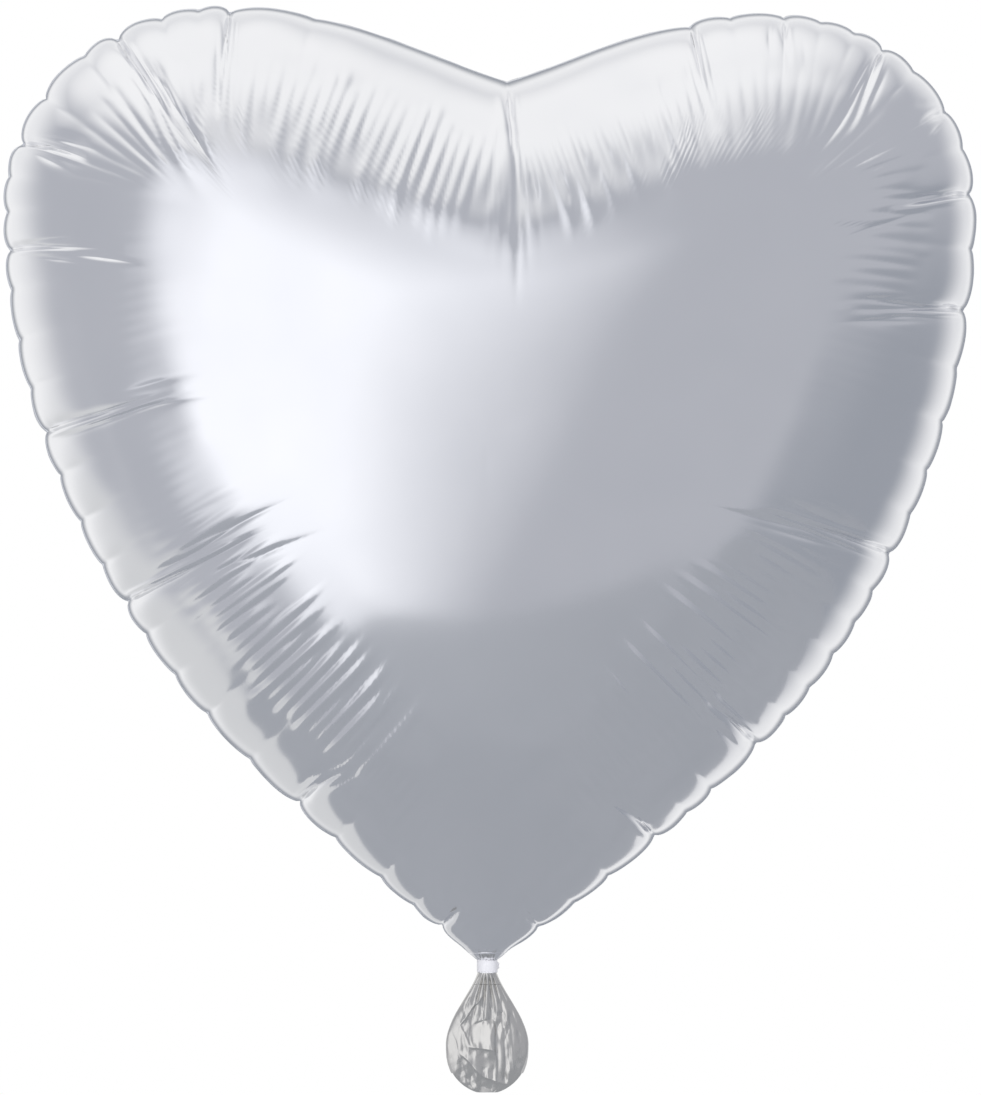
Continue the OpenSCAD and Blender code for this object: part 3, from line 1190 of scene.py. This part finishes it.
def pleated_radius(turn: Array, pleats: int, depth: float, seed: int) -> Array:
    """How far a pleated tube's wall stands from a plain one, as a share of its radius.

    Args:
        turn: angles round the tube, in radians.
        pleats: how many pleats go round.
        depth: how deep they are, as a share of the radius.
        seed: picks one set of pleats from another.

    Returns:
        Factors close to 1.
    """
    uneven = wander(np.cos(turn) * 7.0, 2.0, seed) + wander(np.sin(turn) * 7.0, 2.0, seed + 1)
    return 1.0 - depth * (1.0 - np.abs(np.cos(turn * pleats / 2.0 + 0.7 * uneven)))


@dataclass
class Neck:
    """The film gathered between the heart and the tail, and the bunch inside the ribbon."""

    film: bpy.types.Material
    heart: Heart
    pleats: int = 17
    waist: float = 3.35
    turn_steps: int = 204

    def _ring(self, z: float, radius: float, depth: float) -> Array:
        """One level of a pleated sleeve: a circle with pleats in its wall."""
        turn = np.linspace(0.0, 2 * np.pi, self.turn_steps, endpoint=False)
        wall = pleated_radius(turn, self.pleats, depth, 60) * radius
        return np.c_[np.cos(turn) * wall, np.sin(turn) * wall, np.full_like(turn, z)]

    def _mouth(self) -> Array:
        """The heart's mouth, as a ring that follows the free edges of both panels."""
        edge = np.vstack([self.heart.lips[Side.BACK], self.heart.lips[Side.FRONT][::-1]])
        wide, thick = np.abs(edge[:, 0]).max(), np.abs(edge[:, 1]).max()
        turn = np.arctan2(edge[:, 1] / thick, edge[:, 0] / wide) % (2 * np.pi)
        order = np.argsort(turn)
        goal = np.linspace(0.0, 2 * np.pi, self.turn_steps, endpoint=False)
        near, edge = turn[order], edge[order]
        return np.stack([np.interp(goal, near, edge[:, k], period=2 * np.pi) for k in range(3)], -1)

    def _sleeve(self, name: str, rings: list[Array]) -> bpy.types.Object:
        """Joins rings into a sleeve with a closed inner wall.

        Args:
            name: the piece's name.
            rings: the levels, from the top down.

        Returns:
            The sleeve.
        """
        outer = np.stack(rings)
        middle = outer.mean(axis=1, keepdims=True)
        inner = (middle + (outer - middle) * 0.9)[::-1]
        points = np.concatenate([outer, inner])
        count, steps = points.shape[0], points.shape[1]
        faces = grid_faces(count, steps, close_rows=True, close_columns=True)
        return new_mesh_object(name, points.reshape(-1, 3), faces)

    def build(self) -> None:
        """Makes the sleeve above the ribbon in two parts, and the bunch inside the ribbon."""
        pivot = (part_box("neck_bead")[0].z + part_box("neck_bead")[1].z) / 2 / MM
        low, high = (corner.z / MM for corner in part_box("neck_gather"))
        mouth = self._mouth()

        def level(share: float) -> Array:
            """The sleeve at one share of the way from the ribbon to the heart's mouth."""
            share_out = share**0.85
            circle = self._ring(high, self.waist + 0.6, 0.14 * (1.0 - share))
            ring = circle * (1.0 - share_out) + mouth * share_out
            ring[:, 2] = high + (mouth[:, 2] - high) * share
            return ring

        tucked = mouth * np.array([1.03, 1.03, 1.0]) + np.array([0.0, 0.0, 0.45])
        middle = (pivot - high) / (float(mouth[:, 2].mean()) - high)
        upper = self._sleeve("neck_film_upper", [tucked] + [level(s) for s in np.linspace(1.0, middle, 7)])
        finish_piece(upper, self.film, ["neck_bead"])
        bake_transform(upper)
        foot = self._ring(high - 0.4, self.waist, 0.1)
        lower = self._sleeve("neck_film_lower", [level(s) for s in np.linspace(middle, 0.03, 6)] + [foot])
        finish_piece(lower, self.film)
        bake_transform(lower)
        inside = [self._ring(z, 3.3, 0.16) for z in np.linspace(high - 0.1, low + 0.1, 5)]
        bunch = self._sleeve("neck_gather_film", inside)
        finish_piece(bunch, self.film, ["neck_gather"], "tie")


@dataclass(frozen=True)
class Fold:
    """A crease in the tail's film, from one point to another.

    ridge is how high it stands, or how deep if negative, and step is how much higher the film is
    on the crease's left, looking along it from its start; both in mm.
    """

    start: Point
    end: Point
    ridge: float
    step: float = 0.0
    width: float = 0.7


@dataclass(frozen=True)
class Facet:
    """A flatter part of the crumpled tail: its centre, its half size, and how far it tilts."""

    centre: Point
    half: Point
    tilt: float


@dataclass
class Tail:
    """The inflation tab below the ribbon: two crumpled leaves, open at the bottom."""

    film: bpy.types.Material
    # One leaf laid flat, in mm, and its area in square metres.
    flat_width: float = 34.0
    flat_height: float = 47.0
    flat_area: float = 0.0013
    half_width: float = 16.2
    columns: int = 210
    rows: int = 200
    wall: float = 0.2
    # How close a leaf's inner face may come to the other leaf's, from the middle plane.
    least_depth: float = 0.02
    waist: float = 3.3
    # How far down the tail is widest, as a share of its length.
    widest: float = 0.60
    # How far the air left in it puffs out each leaf, and the pleats that fan out of the ribbon.
    puff: float = 2.6
    pleats: float = 6.3
    pleat_depth: float = 0.75
    # The length over which the film bends below the ribbon, in mm.
    bend: float = 4.2
    # Each set of crumples: its pitch in mm, the slope of its facets, and its turn in degrees,
    # where 90 makes folds that run down the leaf.
    crumples: tuple[tuple[float, float, float], ...] = (
        (7.4, 0.36, 86),
        (4.2, 0.34, 93),
        (2.4, 0.26, 84),
        (8.5, 0.12, 28),
        (3.4, 0.10, -38),
        (1.5, 0.14, 80),
    )
    folds: tuple[Fold, ...] = (
        Fold((-0.8, -10.2), (-10.6, -22.7), 0.35, -0.6, 0.9),
        Fold((-10.6, -22.7), (-6.7, -31.7), 0.3, -0.5, 0.9),
        Fold((-6.7, -31.7), (3.0, -33.6), 0.35, 0.5, 0.9),
        Fold((-10.2, -34.5), (-1.5, -43.5), 0.5, 0.6, 1.1),
        Fold((-1.5, -43.5), (8.6, -47.4), 0.5, 0.5, 1.1),
        Fold((2.6, -21.0), (4.0, -46.0), 0.4, -0.5, 1.0),
        Fold((6.2, -18.0), (7.6, -45.0), -0.35, 0.3, 1.0),
        Fold((8.0, -16.0), (11.0, -42.0), 0.4, -0.3, 1.0),
        Fold((-13.6, -26.0), (-8.0, -44.5), -0.3, 0.3, 1.0),
        Fold((1.0, -12.0), (3.4, -22.0), 0.4, 0.3, 0.6),
        Fold((-4.6, -22.4), (2.2, -20.4), -0.3, 0.2, 0.6),
    )
    facets: tuple[Facet, ...] = (
        Facet((-2.2, -26.5), (5.0, 4.6), 0.22),
        Facet((5.0, -37.0), (1.8, 10.0), 0.42),
        Facet((10.2, -30.0), (1.7, 10.0), 0.46),
        Facet((-12.2, -27.0), (2.6, 8.0), 0.10),
        Facet((-2.0, -37.5), (5.0, 3.2), -0.12),
    )

    def outline(self, z: Array) -> Array:
        """The tail's half width at each height, in mm."""
        top, bottom = self._ends()
        down = np.clip((top - z) / (top - bottom), 0.0, 1.0)
        widest = self.widest
        egg = np.sqrt(np.clip(1.0 - ((down - widest) / (1.002 - widest)) ** 2, 0.0, 1.0))
        shape = np.where(down < widest, ease(-0.04, widest, down) ** 0.80, egg)
        narrow = self.waist * (1.0 - ease(0.7, 1.0, down))
        return narrow + (self.half_width - narrow) * shape

    def _ends(self) -> tuple[float, float]:
        """The heights of the tail's top, at the ribbon's lower edge, and of its bottom."""
        low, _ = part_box("neck_gather")
        bottom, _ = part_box("front_tail_leaf")
        return low.z / MM + 0.2, bottom.z / MM

    def _crumple(self, x: Array, z: Array, seed: int) -> Array:
        """Facets of crumpled film: sharp-edged waves that cross one another.

        Args:
            x: places across the leaf.
            z: places up the leaf.
            seed: picks this leaf's own crumples.

        Returns:
            How far each place is pushed out, in mm.
        """
        rng = np.random.default_rng(seed)
        push = np.zeros_like(x)
        for pitch, slope, turn in self.crumples:
            angle = math.radians(turn + rng.uniform(-9.0, 9.0))
            run = x * math.sin(angle) + z * math.cos(angle) + rng.uniform(0.0, 9.0)
            beside = x * math.cos(angle) - z * math.sin(angle)
            run = run + 0.3 * pitch * wander(beside, pitch * 2.2, seed + int(pitch * 3))
            wave = np.abs(run / pitch - np.floor(run / pitch + 0.5)) * 2.0
            patch = 0.55 + 0.45 * wander(x * 0.9 + z * 0.22, 4.0, seed + 40 + int(pitch))
            push += slope * pitch / 2 * (wave - 0.5) * patch
        return push

    def _calm(self, x: Array, z: Array) -> Array:
        """How little of the crumpling is left at each place: 0 in the middle of a facet."""
        reach = [bell(x, f.centre[0], f.half[0]) * bell(z, f.centre[1], f.half[1]) for f in self.facets]
        return 1.0 - 0.85 * np.clip(np.max(reach, axis=0) * 1.4, 0.0, 1.0)

    def _folded(self, x: Array, z: Array) -> Array:
        """The leaf's main folds, in mm outwards."""
        push = np.zeros_like(x)
        for fold in self.folds:
            start, end = np.array(fold.start), np.array(fold.end)
            length = float(np.linalg.norm(end - start))
            along = ((x - start[0]) * (end - start)[0] + (z - start[1]) * (end - start)[1]) / length
            off = ((x - start[0]) * -(end - start)[1] + (z - start[1]) * (end - start)[0]) / length
            off = off + 0.35 * wander(along, 4.0, int(length * 7))
            window = ease(-1.5, 1.5, along) * ease(length + 1.5, length - 1.5, along)
            lift = fold.step * (ease(-0.45, 0.45, off) - 0.5) * np.exp(-np.abs(off) / 4.0)
            push += window * (fold.ridge * np.exp(-np.abs(off) / fold.width) + lift)
        for facet in self.facets:
            across = x - facet.centre[0]
            reach = bell(across, 0.0, facet.half[0]) * bell(z, facet.centre[1], facet.half[1])
            push += facet.tilt * across * reach
        return push

    def _leaf_points(self, side: Side, seed: int) -> Array:
        """The outer face of one leaf, from the ribbon down.

        Args:
            side: the front or the back.
            seed: picks this leaf's own pleats.

        Returns:
            Points in rows from the top down and columns from left to right.
        """
        top, bottom = self._ends()
        part = np.linspace(0.0, 1.0, self.rows)
        part = part + 0.09 * np.sin(np.pi * part) * part
        z_rows = top + (bottom + 0.5 - top) * np.clip(part, 0.0, 1.0)
        across = np.linspace(-1.0, 1.0, self.columns)
        grid_u, grid_z = np.meshgrid(np.sin(across * np.pi / 2), z_rows)
        x = grid_u * self.outline(grid_z)
        down = (top - grid_z) / (top - bottom)
        round_tube = np.sqrt(np.clip(1.0 - grid_u**2, 0.0, 1.0))
        flat = (1.0 - grid_u**2) ** 0.6
        spread = ease(0.0, 0.3, down)
        depth = self.waist * (1 - spread) + self.puff * spread * ease(1.12, 0.6, down) + 0.45
        y = depth * (round_tube * (1 - spread) + flat * spread)
        fan = grid_u * self.pleats + 0.5 * wander(grid_u * 10.0, 3.0, seed)
        pleats = np.abs(np.cos(fan * np.pi / 2 + seed))
        pleat_depth = self.pleat_depth * ease(0.0, 0.08, down) * ease(0.62, 0.12, down) + 0.10
        y = y - pleat_depth * (1 - pleats) * flat
        loose = ease(0.10, 0.30, down) * flat
        mirror = -side.value
        crumple = self._crumple(x, grid_z, seed) * self._calm(x * mirror, grid_z)
        y = y + loose * (crumple + self._folded(x * mirror, grid_z))
        y = np.maximum(y, 0.12 + 0.55 * flat * ease(0.08, 0.2, down))
        return np.stack([x, y * side.value, grid_z], axis=-1)

    def _closed(self, name: str, grid: Array, side: Side) -> bpy.types.Object:
        """Gives an open grid of points a thin wall.

        Args:
            name: the piece's name.
            grid: rows and columns of points on the outer face.
            side: which way it faces.

        Returns:
            The closed leaf.
        """
        rows, columns = grid.shape[0], grid.shape[1]
        inner = grid.copy()
        depth = grid[:, :, 1] * side.value - self.wall
        inner[:, :, 1] = side.value * np.maximum(depth, self.least_depth)
        points = np.vstack([grid.reshape(-1, 3), inner.reshape(-1, 3)])
        back = rows * columns
        faces = grid_faces(rows, columns) + grid_faces(rows, columns, back)
        edge = list(range(columns))
        edge += [j * columns + columns - 1 for j in range(1, rows)]
        edge += [(rows - 1) * columns + i for i in range(columns - 2, -1, -1)]
        edge += [j * columns for j in range(rows - 2, 0, -1)]
        for k, a in enumerate(edge):
            b = edge[(k + 1) % len(edge)]
            faces.append((a, back + a, back + b, b))
        return new_mesh_object(name, points, faces)

    def build(self) -> None:
        """Makes the two leaves, each in a short root at the ribbon and a long free part."""
        pivot = (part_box("tail_bead")[0].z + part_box("tail_bead")[1].z) / 2 / MM
        for word, side, seed in (("front", Side.FRONT, 3), ("back", Side.BACK, 8)):
            grid = self._leaf_points(side, seed)
            split = int(np.argmin(np.abs(grid[:, 0, 2] - (pivot - self.bend / 2))))
            root = self._closed(f"{word}_tail_root", grid[: split + 1], side)
            finish_piece(root, self.film, ["tail_bead"] if side is Side.FRONT else [])
            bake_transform(root)
            leaf = self._closed(f"{word}_tail_leaf_film", grid[split:], side)
            nodes = [f"{word}_tail_leaf"] + (["tail_gather"] if side is Side.FRONT else [])
            finish_piece(leaf, self.film, nodes)
            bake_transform(leaf)


# --------------------------------------------------------------------------------- the ribbon


@dataclass
class RibbonTie:
    """White curling ribbon wound round the neck, with its knot and clipped ends."""

    ribbon: bpy.types.Material
    turns: float = 3.6
    # Where the inner end lies round the neck, which leaves the outer end at the back.
    start: float = math.radians(234.0)
    width: float = 4.7
    gauge: float = 0.11
    # How thick the wound turns are together.
    wound: float = 0.65
    steps_a_turn: int = 72
    # The clipped ends: how wide they show and how high they lie in the CAD ends' box, then where
    # each one stops across that box and how far it curls, in mm.
    end_width: float = 2.9
    end_level: float = 0.36
    end_shapes: tuple[Point3, ...] = ((0.75, 0.9, 0.7), (0.12, 0.70, -0.5))
    # The knot's size as shares of the CAD knot's, and how much its corners are pulled in.
    knot_size: Point3 = (0.86, 0.86, 0.96)
    knot_pull: float = 0.24

    def _strip(self, name: str, line: Array, up: Array, out: Array, width: float) -> bpy.types.Object:
        """Sweeps a thin strip of ribbon along a line.

        Args:
            name: the piece's name.
            line: the strip's middle, point by point.
            up: the direction across the strip at each point.
            out: the direction the strip faces at each point.
            width: the strip's width, in mm.

        Returns:
            The closed strip.
        """
        shares = np.array([-0.5, -0.46, -0.3, 0.0, 0.3, 0.46, 0.5])
        crown = np.array([0.0, 0.03, 0.06, 0.07, 0.06, 0.03, 0.0])
        outer = line[:, None, :] + up[:, None, :] * (shares * width)[None, :, None]
        outer = outer + out[:, None, :] * (crown + self.gauge / 2)[None, :, None]
        inner = line[:, None, :] + up[:, None, :] * (shares[::-1] * width)[None, :, None]
        inner = inner - out[:, None, :] * (self.gauge / 2)
        points = np.concatenate([outer, inner], axis=1)
        count, ring = points.shape[0], points.shape[1]
        faces = grid_faces(count, ring, close_columns=True)
        faces.append(tuple(range(ring)))
        faces.append(tuple((count - 1) * ring + i for i in range(ring)))
        return new_mesh_object(name, points.reshape(-1, 3), faces)

    def build(self) -> None:
        """Makes the wound turns, the knot and the two ends."""
        _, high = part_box("ribbon_wrap")
        outside = high.x / MM
        inside = outside - self.wound
        count = int(self.turns * self.steps_a_turn)
        turn = np.linspace(0.0, self.turns, count) * 2 * np.pi + self.start
        radius = inside + 0.1 + (outside - inside - 0.2) * np.linspace(0.0, 1.0, count)
        drift = 0.16 * np.sin(turn * 0.61 + 0.6) + 0.10 * np.sin(turn * 1.7)
        line = np.c_[radius * np.cos(turn), radius * np.sin(turn), drift]
        out = np.c_[np.cos(turn), np.sin(turn), np.zeros(count)]
        lean = 0.05 * np.sin(turn * 0.8)
        up = unit(np.c_[-np.sin(turn) * lean, np.cos(turn) * lean, np.ones(count)])
        wrap = self._strip("ribbon_wrap_turns", line, up, out, self.width)
        finish_piece(wrap, self.ribbon, ["ribbon_wrap"], "tie")
        self._knot()
        self._ends()

    def _knot(self) -> None:
        """Makes the knot: a lump of ribbon folded over itself, creased by the pull of its ends."""
        low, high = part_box("ribbon_knot")
        middle = (low + high) / 2
        size = high - low
        bpy.ops.object.select_all(action="DESELECT")
        bpy.ops.mesh.primitive_cube_add(size=1.0, location=middle)
        knot = bpy.context.active_object
        knot.name = "ribbon_knot_lump"
        knot.scale = size * Vector(self.knot_size)
        bpy.ops.object.transform_apply(location=True, rotation=False, scale=True)
        bpy.ops.object.mode_set(mode="EDIT")
        bpy.ops.mesh.select_all(action="SELECT")
        bpy.ops.mesh.subdivide(number_cuts=5)
        bpy.ops.mesh.bevel(offset=0.25 * MM, segments=2, affect="EDGES")
        bpy.ops.object.mode_set(mode="OBJECT")
        centre = np.array(middle) / MM
        co = np.array([v.co for v in knot.data.vertices]) / MM
        local = (co - centre) / (np.array(size) / MM / 2)
        pull = 1.0 - self.knot_pull * np.clip((local**2).sum(1) - 1.0, 0.0, 1.5)
        fold = 0.10 * np.abs(np.sin(local[:, 2] * 3.4 + local[:, 0] * 1.7))
        co = centre + (co - centre) * (pull * (1.0 - fold))[:, None]
        knot.data.vertices.foreach_set("co", (co * MM).ravel())
        smooth = knot.modifiers.new("round", "SUBSURF")
        smooth.levels = smooth.render_levels = 1
        bpy.ops.object.modifier_apply(modifier=smooth.name)
        bpy.ops.object.shade_smooth()
        finish_piece(knot, self.ribbon, ["ribbon_knot"], "tie")

    def _ends(self) -> None:
        """Makes the two clipped ends that trail behind the knot, each with a little curl."""
        low, high = (np.array(c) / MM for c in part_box("ribbon_ends"))
        knot_low, knot_high = (np.array(c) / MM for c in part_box("ribbon_knot"))
        start = (knot_low + knot_high) / 2
        for number, (x, y, curl) in enumerate(self.end_shapes, start=1):
            goal = low + (high - low) * np.array([x, y, self.end_level])
            part = np.linspace(0.0, 1.0, 26)
            ahead = unit((goal - start) * np.array([1.0, 1.0, 0.0]))
            sideways = np.array([-ahead[1], ahead[0], 0.0])
            line = start + (goal - start) * part[:, None]
            line = line + sideways * (curl * part**2 * (1 - 0.4 * part))[:, None]
            line[:, 2] = start[2] + (goal[2] - start[2]) * ease(0.0, 0.5, part)
            run = unit(np.gradient(line, axis=0))
            up = np.tile([0.0, 0.0, 1.0], (len(part), 1))
            out = unit(np.cross(run, up))
            end = self._strip(f"ribbon_end_{number}", line, up, out, self.end_width)
            finish_piece(end, self.ribbon, ["ribbon_ends"], "tie")


# ---------------------------------------------------------------------------------- the stage


@dataclass
class Studio:
    """Pale floor, plain bright surroundings and soft lights, with a level long-lens camera."""

    distance: float = 3.2
    # How much taller the picture is than the balloon, and how far to its right and above its
    # middle the camera stands, in mm.
    headroom: float = 1.00736
    camera_shift: Point = (1.3, 0.5)
    floor_drop: float = 0.55
    floor_radius: float = 1.35
    # The floor lies mostly in front and to the right, so the white backdrop lights the left rim.
    floor_shift: Point = (0.35, -0.5)
    floor_colours: tuple[str, str] = ("B6B9BE", "BFC2C7")
    # The soft box's left, right, lower and upper edges, in degrees seen from the balloon.
    soft_box: tuple[float, float, float, float] = (-59.0, 5.5, -40.0, 48.5)
    soft_box_roll: float = 20.0
    soft_box_reach: float = 2.6
    soft_box_glow: float = 0.60
    # The soft box is made of this many nested cards, each smaller all round by this many degrees.
    soft_layers: int = 8
    edge_step: float = 2.8
    fill_glow: float = 0.95
    wall_colour: str = "BABCC3"
    flag_colour: str = "A1A5AD"
    behind_colour: str = "989CA4"
    backdrop_colour: str = "FFFFFF"
    ground_colour: str = "DADBDC"

    def _card(
        self,
        name: str,
        azimuth: float,
        rise: float,
        reach: float,
        size: Point,
        glow: float,
        mirrored: bool = True,
        roll: float = 0.0,
    ) -> None:
        """Adds one rectangular soft light that the camera doesn't see.

        Args:
            name: the light's name.
            azimuth: its direction in degrees, 0 at the camera and positive to the right.
            rise: its direction in degrees above the balloon's middle.
            reach: its distance, in metres.
            size: its width and height, in metres.
            glow: how bright its face is, as a multiple of plain white.
            mirrored: whether the film mirrors it.
            roll: how far its top leans to the right, in degrees.
        """
        low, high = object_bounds()
        aim = Vector((0.0, 0.0, (low.z + high.z) / 2))
        turn, lift = math.radians(azimuth), math.radians(rise)
        way = Vector((math.sin(turn) * math.cos(lift), -math.cos(turn) * math.cos(lift), math.sin(lift)))
        light = bpy.data.lights.new(name, "AREA")
        light.shape = "RECTANGLE"
        light.size, light.size_y = size
        light.energy = glow * math.pi * size[0] * size[1]
        card = bpy.data.objects.new(name, light)
        bpy.context.scene.collection.objects.link(card)
        card.location = aim + way * reach
        facing = (-way).to_track_quat("-Z", "Y")
        card.rotation_euler = (facing @ Quaternion((0.0, 0.0, 1.0), -math.radians(roll))).to_euler()
        card.visible_camera = False
        card.visible_glossy = mirrored
        light.spread = math.radians(180.0 if mirrored else 40.0)

    def _soft_box_layer(self, layer: int) -> None:
        """Adds one of the nested cards that together make a soft box with soft edges."""
        left, right, low, high = self.soft_box
        reach = self.soft_box_reach + 0.02 * layer
        inset = 2 * layer * self.edge_step
        wide, tall = (math.tan(math.radians((a - inset) / 2)) for a in (right - left, high - low))
        self._card(
            f"soft_box_{layer + 1}",
            azimuth=(left + right) / 2,
            rise=(low + high) / 2,
            reach=reach,
            size=(2 * reach * wide, 2 * reach * tall),
            glow=self.soft_box_glow / self.soft_layers,
            roll=self.soft_box_roll,
        )

    def _world(self) -> None:
        """A grey studio with a white backdrop and ceiling; the backdrop shows as plain white."""
        world = bpy.data.worlds.new("studio_surroundings")
        bpy.context.scene.world = world
        world.use_nodes = True
        tree = world.node_tree
        tree.nodes.clear()
        place = add_node(tree, "ShaderNodeTexCoord", {}, {}).outputs["Generated"]

        def patch(lean: Point3, low: float, high: float) -> bpy.types.NodeSocket:
            """A soft-edged part of the surroundings, brightest in the direction of lean."""
            along = add_node(
                tree, "ShaderNodeVectorMath", {"operation": "DOT_PRODUCT", 1: lean}, {0: place}
            )
            share = add_node(
                tree,
                "ShaderNodeMapRange",
                {"interpolation_type": "SMOOTHSTEP", "From Min": low, "From Max": high},
                {"Value": along.outputs["Value"]},
            )
            return share.outputs["Result"]

        left_backdrop = patch((-0.35, 1.0, 0.0), 0.25, 1.15)
        right_backdrop = patch((0.0, 1.0, 0.0), 0.27, 1.0)
        behind = patch((0.0, 1.0, 0.0), 0.85, 0.99)
        ceiling = patch((-0.2, 0.15, 1.0), 0.55, 1.0)
        flag = patch((1.0, 0.0, -0.5), 0.7, 1.1)
        ground = patch((-0.5, 0.5, -1.0), 0.85, 1.1)
        bright = left_backdrop
        for other in (right_backdrop, ceiling):
            more = add_node(tree, "ShaderNodeMath", {"operation": "MAXIMUM"}, {0: bright, 1: other})
            bright = more.outputs[0]
        tone = None
        for share, colour in (
            (flag, self.flag_colour),
            (bright, self.backdrop_colour),
            (ground, self.ground_colour),
            (behind, self.behind_colour),
        ):
            mix = add_node(
                tree,
                "ShaderNodeMix",
                {"data_type": "RGBA", MIX_FROM: linear(self.wall_colour), MIX_TO: linear(colour)},
                {"Factor": share} if tone is None else {"Factor": share, MIX_FROM: tone},
            )
            tone = mix.outputs[MIX_RESULT]
        ray = add_node(tree, "ShaderNodeLightPath", {}, {})
        grey = add_node(tree, "ShaderNodeBackground", {"Strength": 1.0}, {"Color": tone})
        white = add_node(tree, "ShaderNodeBackground", {"Color": (1, 1, 1, 1), "Strength": 1.0}, {})
        links = {0: ray.outputs["Is Camera Ray"], 1: grey.outputs[0], 2: white.outputs[0]}
        seen = add_node(tree, "ShaderNodeMixShader", {}, links)
        add_node(tree, "ShaderNodeOutputWorld", {}, {"Surface": seen.outputs[0]})

    def _floor(self) -> None:
        """Adds the pale floor, well below the balloon."""
        low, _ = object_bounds()
        bpy.ops.object.select_all(action="DESELECT")
        bpy.ops.mesh.primitive_circle_add(
            vertices=96,
            radius=self.floor_radius,
            fill_type="NGON",
            location=(*self.floor_shift, low.z - self.floor_drop),
        )
        floor = bpy.context.active_object
        floor.name = "studio_floor"
        bpy.ops.object.transform_apply(location=True)
        material, shader, tree = blank_material("floor_matt_paper")
        place = add_node(tree, "ShaderNodeTexCoord", {}, {}).outputs["Object"]
        noise = add_node(tree, "ShaderNodeTexNoise", {"Scale": 3.0, "Detail": 3.0}, {"Vector": place})
        first, second = (linear(code) for code in self.floor_colours)
        shade = add_node(
            tree,
            "ShaderNodeMix",
            {"data_type": "RGBA", MIX_FROM: first, MIX_TO: second},
            {"Factor": noise.outputs["Fac"]},
        )
        tree.links.new(shade.outputs[MIX_RESULT], shader.inputs["Base Color"])
        shader.inputs["Roughness"].default_value = 0.8
        floor.data.materials.append(material)
        floor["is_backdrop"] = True

    def _camera(self) -> None:
        """Sets the camera level with the middle of the picture, square to the heart."""
        low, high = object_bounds()
        height = (high.z - low.z) * self.headroom
        camera = bpy.data.cameras.new("camera")
        camera.lens = camera.sensor_width * self.distance / height
        camera.clip_end = 50.0
        holder = bpy.data.objects.new("camera", camera)
        bpy.context.scene.collection.objects.link(holder)
        right, up = self.camera_shift
        holder.location = (right * MM, -self.distance, (high.z + low.z) / 2 + up * MM)
        holder.rotation_euler = (math.pi / 2, 0.0, 0.0)
        bpy.context.scene.camera = holder

    def build(self) -> None:
        """Sets up the surroundings, floor, lights and camera."""
        self._world()
        self._floor()
        for layer in range(self.soft_layers):
            self._soft_box_layer(layer)
        self._card(
            "fill_light",
            azimuth=8.0,
            rise=-4.0,
            reach=1.6,
            size=(0.5, 0.5),
            glow=self.fill_glow,
            mirrored=False,
        )
        bpy.context.scene.view_settings.view_transform = "Standard"
        self._camera()


def dress_node(name: str, material: bpy.types.Material) -> None:
    """Gives a CAD node that stays in view its finish, and leaves its mesh alone."""
    node = bpy.data.objects[name]
    for part in node.material_slots:
        part.material = material
    LOG.info("%s: kept from the frame", name)


def main() -> None:
    """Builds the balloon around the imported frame, then the studio."""
    logging.basicConfig(level=logging.INFO, format="%(name)s: %(message)s")
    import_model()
    film = MetallisedFilm("metallised_polyester_film_silver").make()
    tail_film = MetallisedFilm(
        "crumpled_metallised_film_silver", colour="E9E7E2", streak_colour="CBC9C5", roughness=0.22
    ).make()
    weld_film = MetallisedFilm(
        "heat_sealed_film_margin", colour="E4E5E9", streak_colour="D6D9DE", roughness=0.3
    ).make()
    ribbon = CurlingRibbon().make()
    clear = ClearFilm().make()
    heart = Heart(film, weld_film)
    heart.build()
    Neck(film, heart).build()
    RibbonTie(ribbon).build()
    Tail(tail_film).build()
    kept_nodes = {
        "valve_front_film": clear,
        "valve_back_film": clear,
        "valve_side_welds": clear,
        "tail_valve_front": clear,
        "tail_valve_back": clear,
        "tail_weld_left": tail_film,
        "tail_weld_right": tail_film,
    }
    for name, material in kept_nodes.items():
        dress_node(name, material)
    Studio().build()


if __name__ == "__main__":
    main()
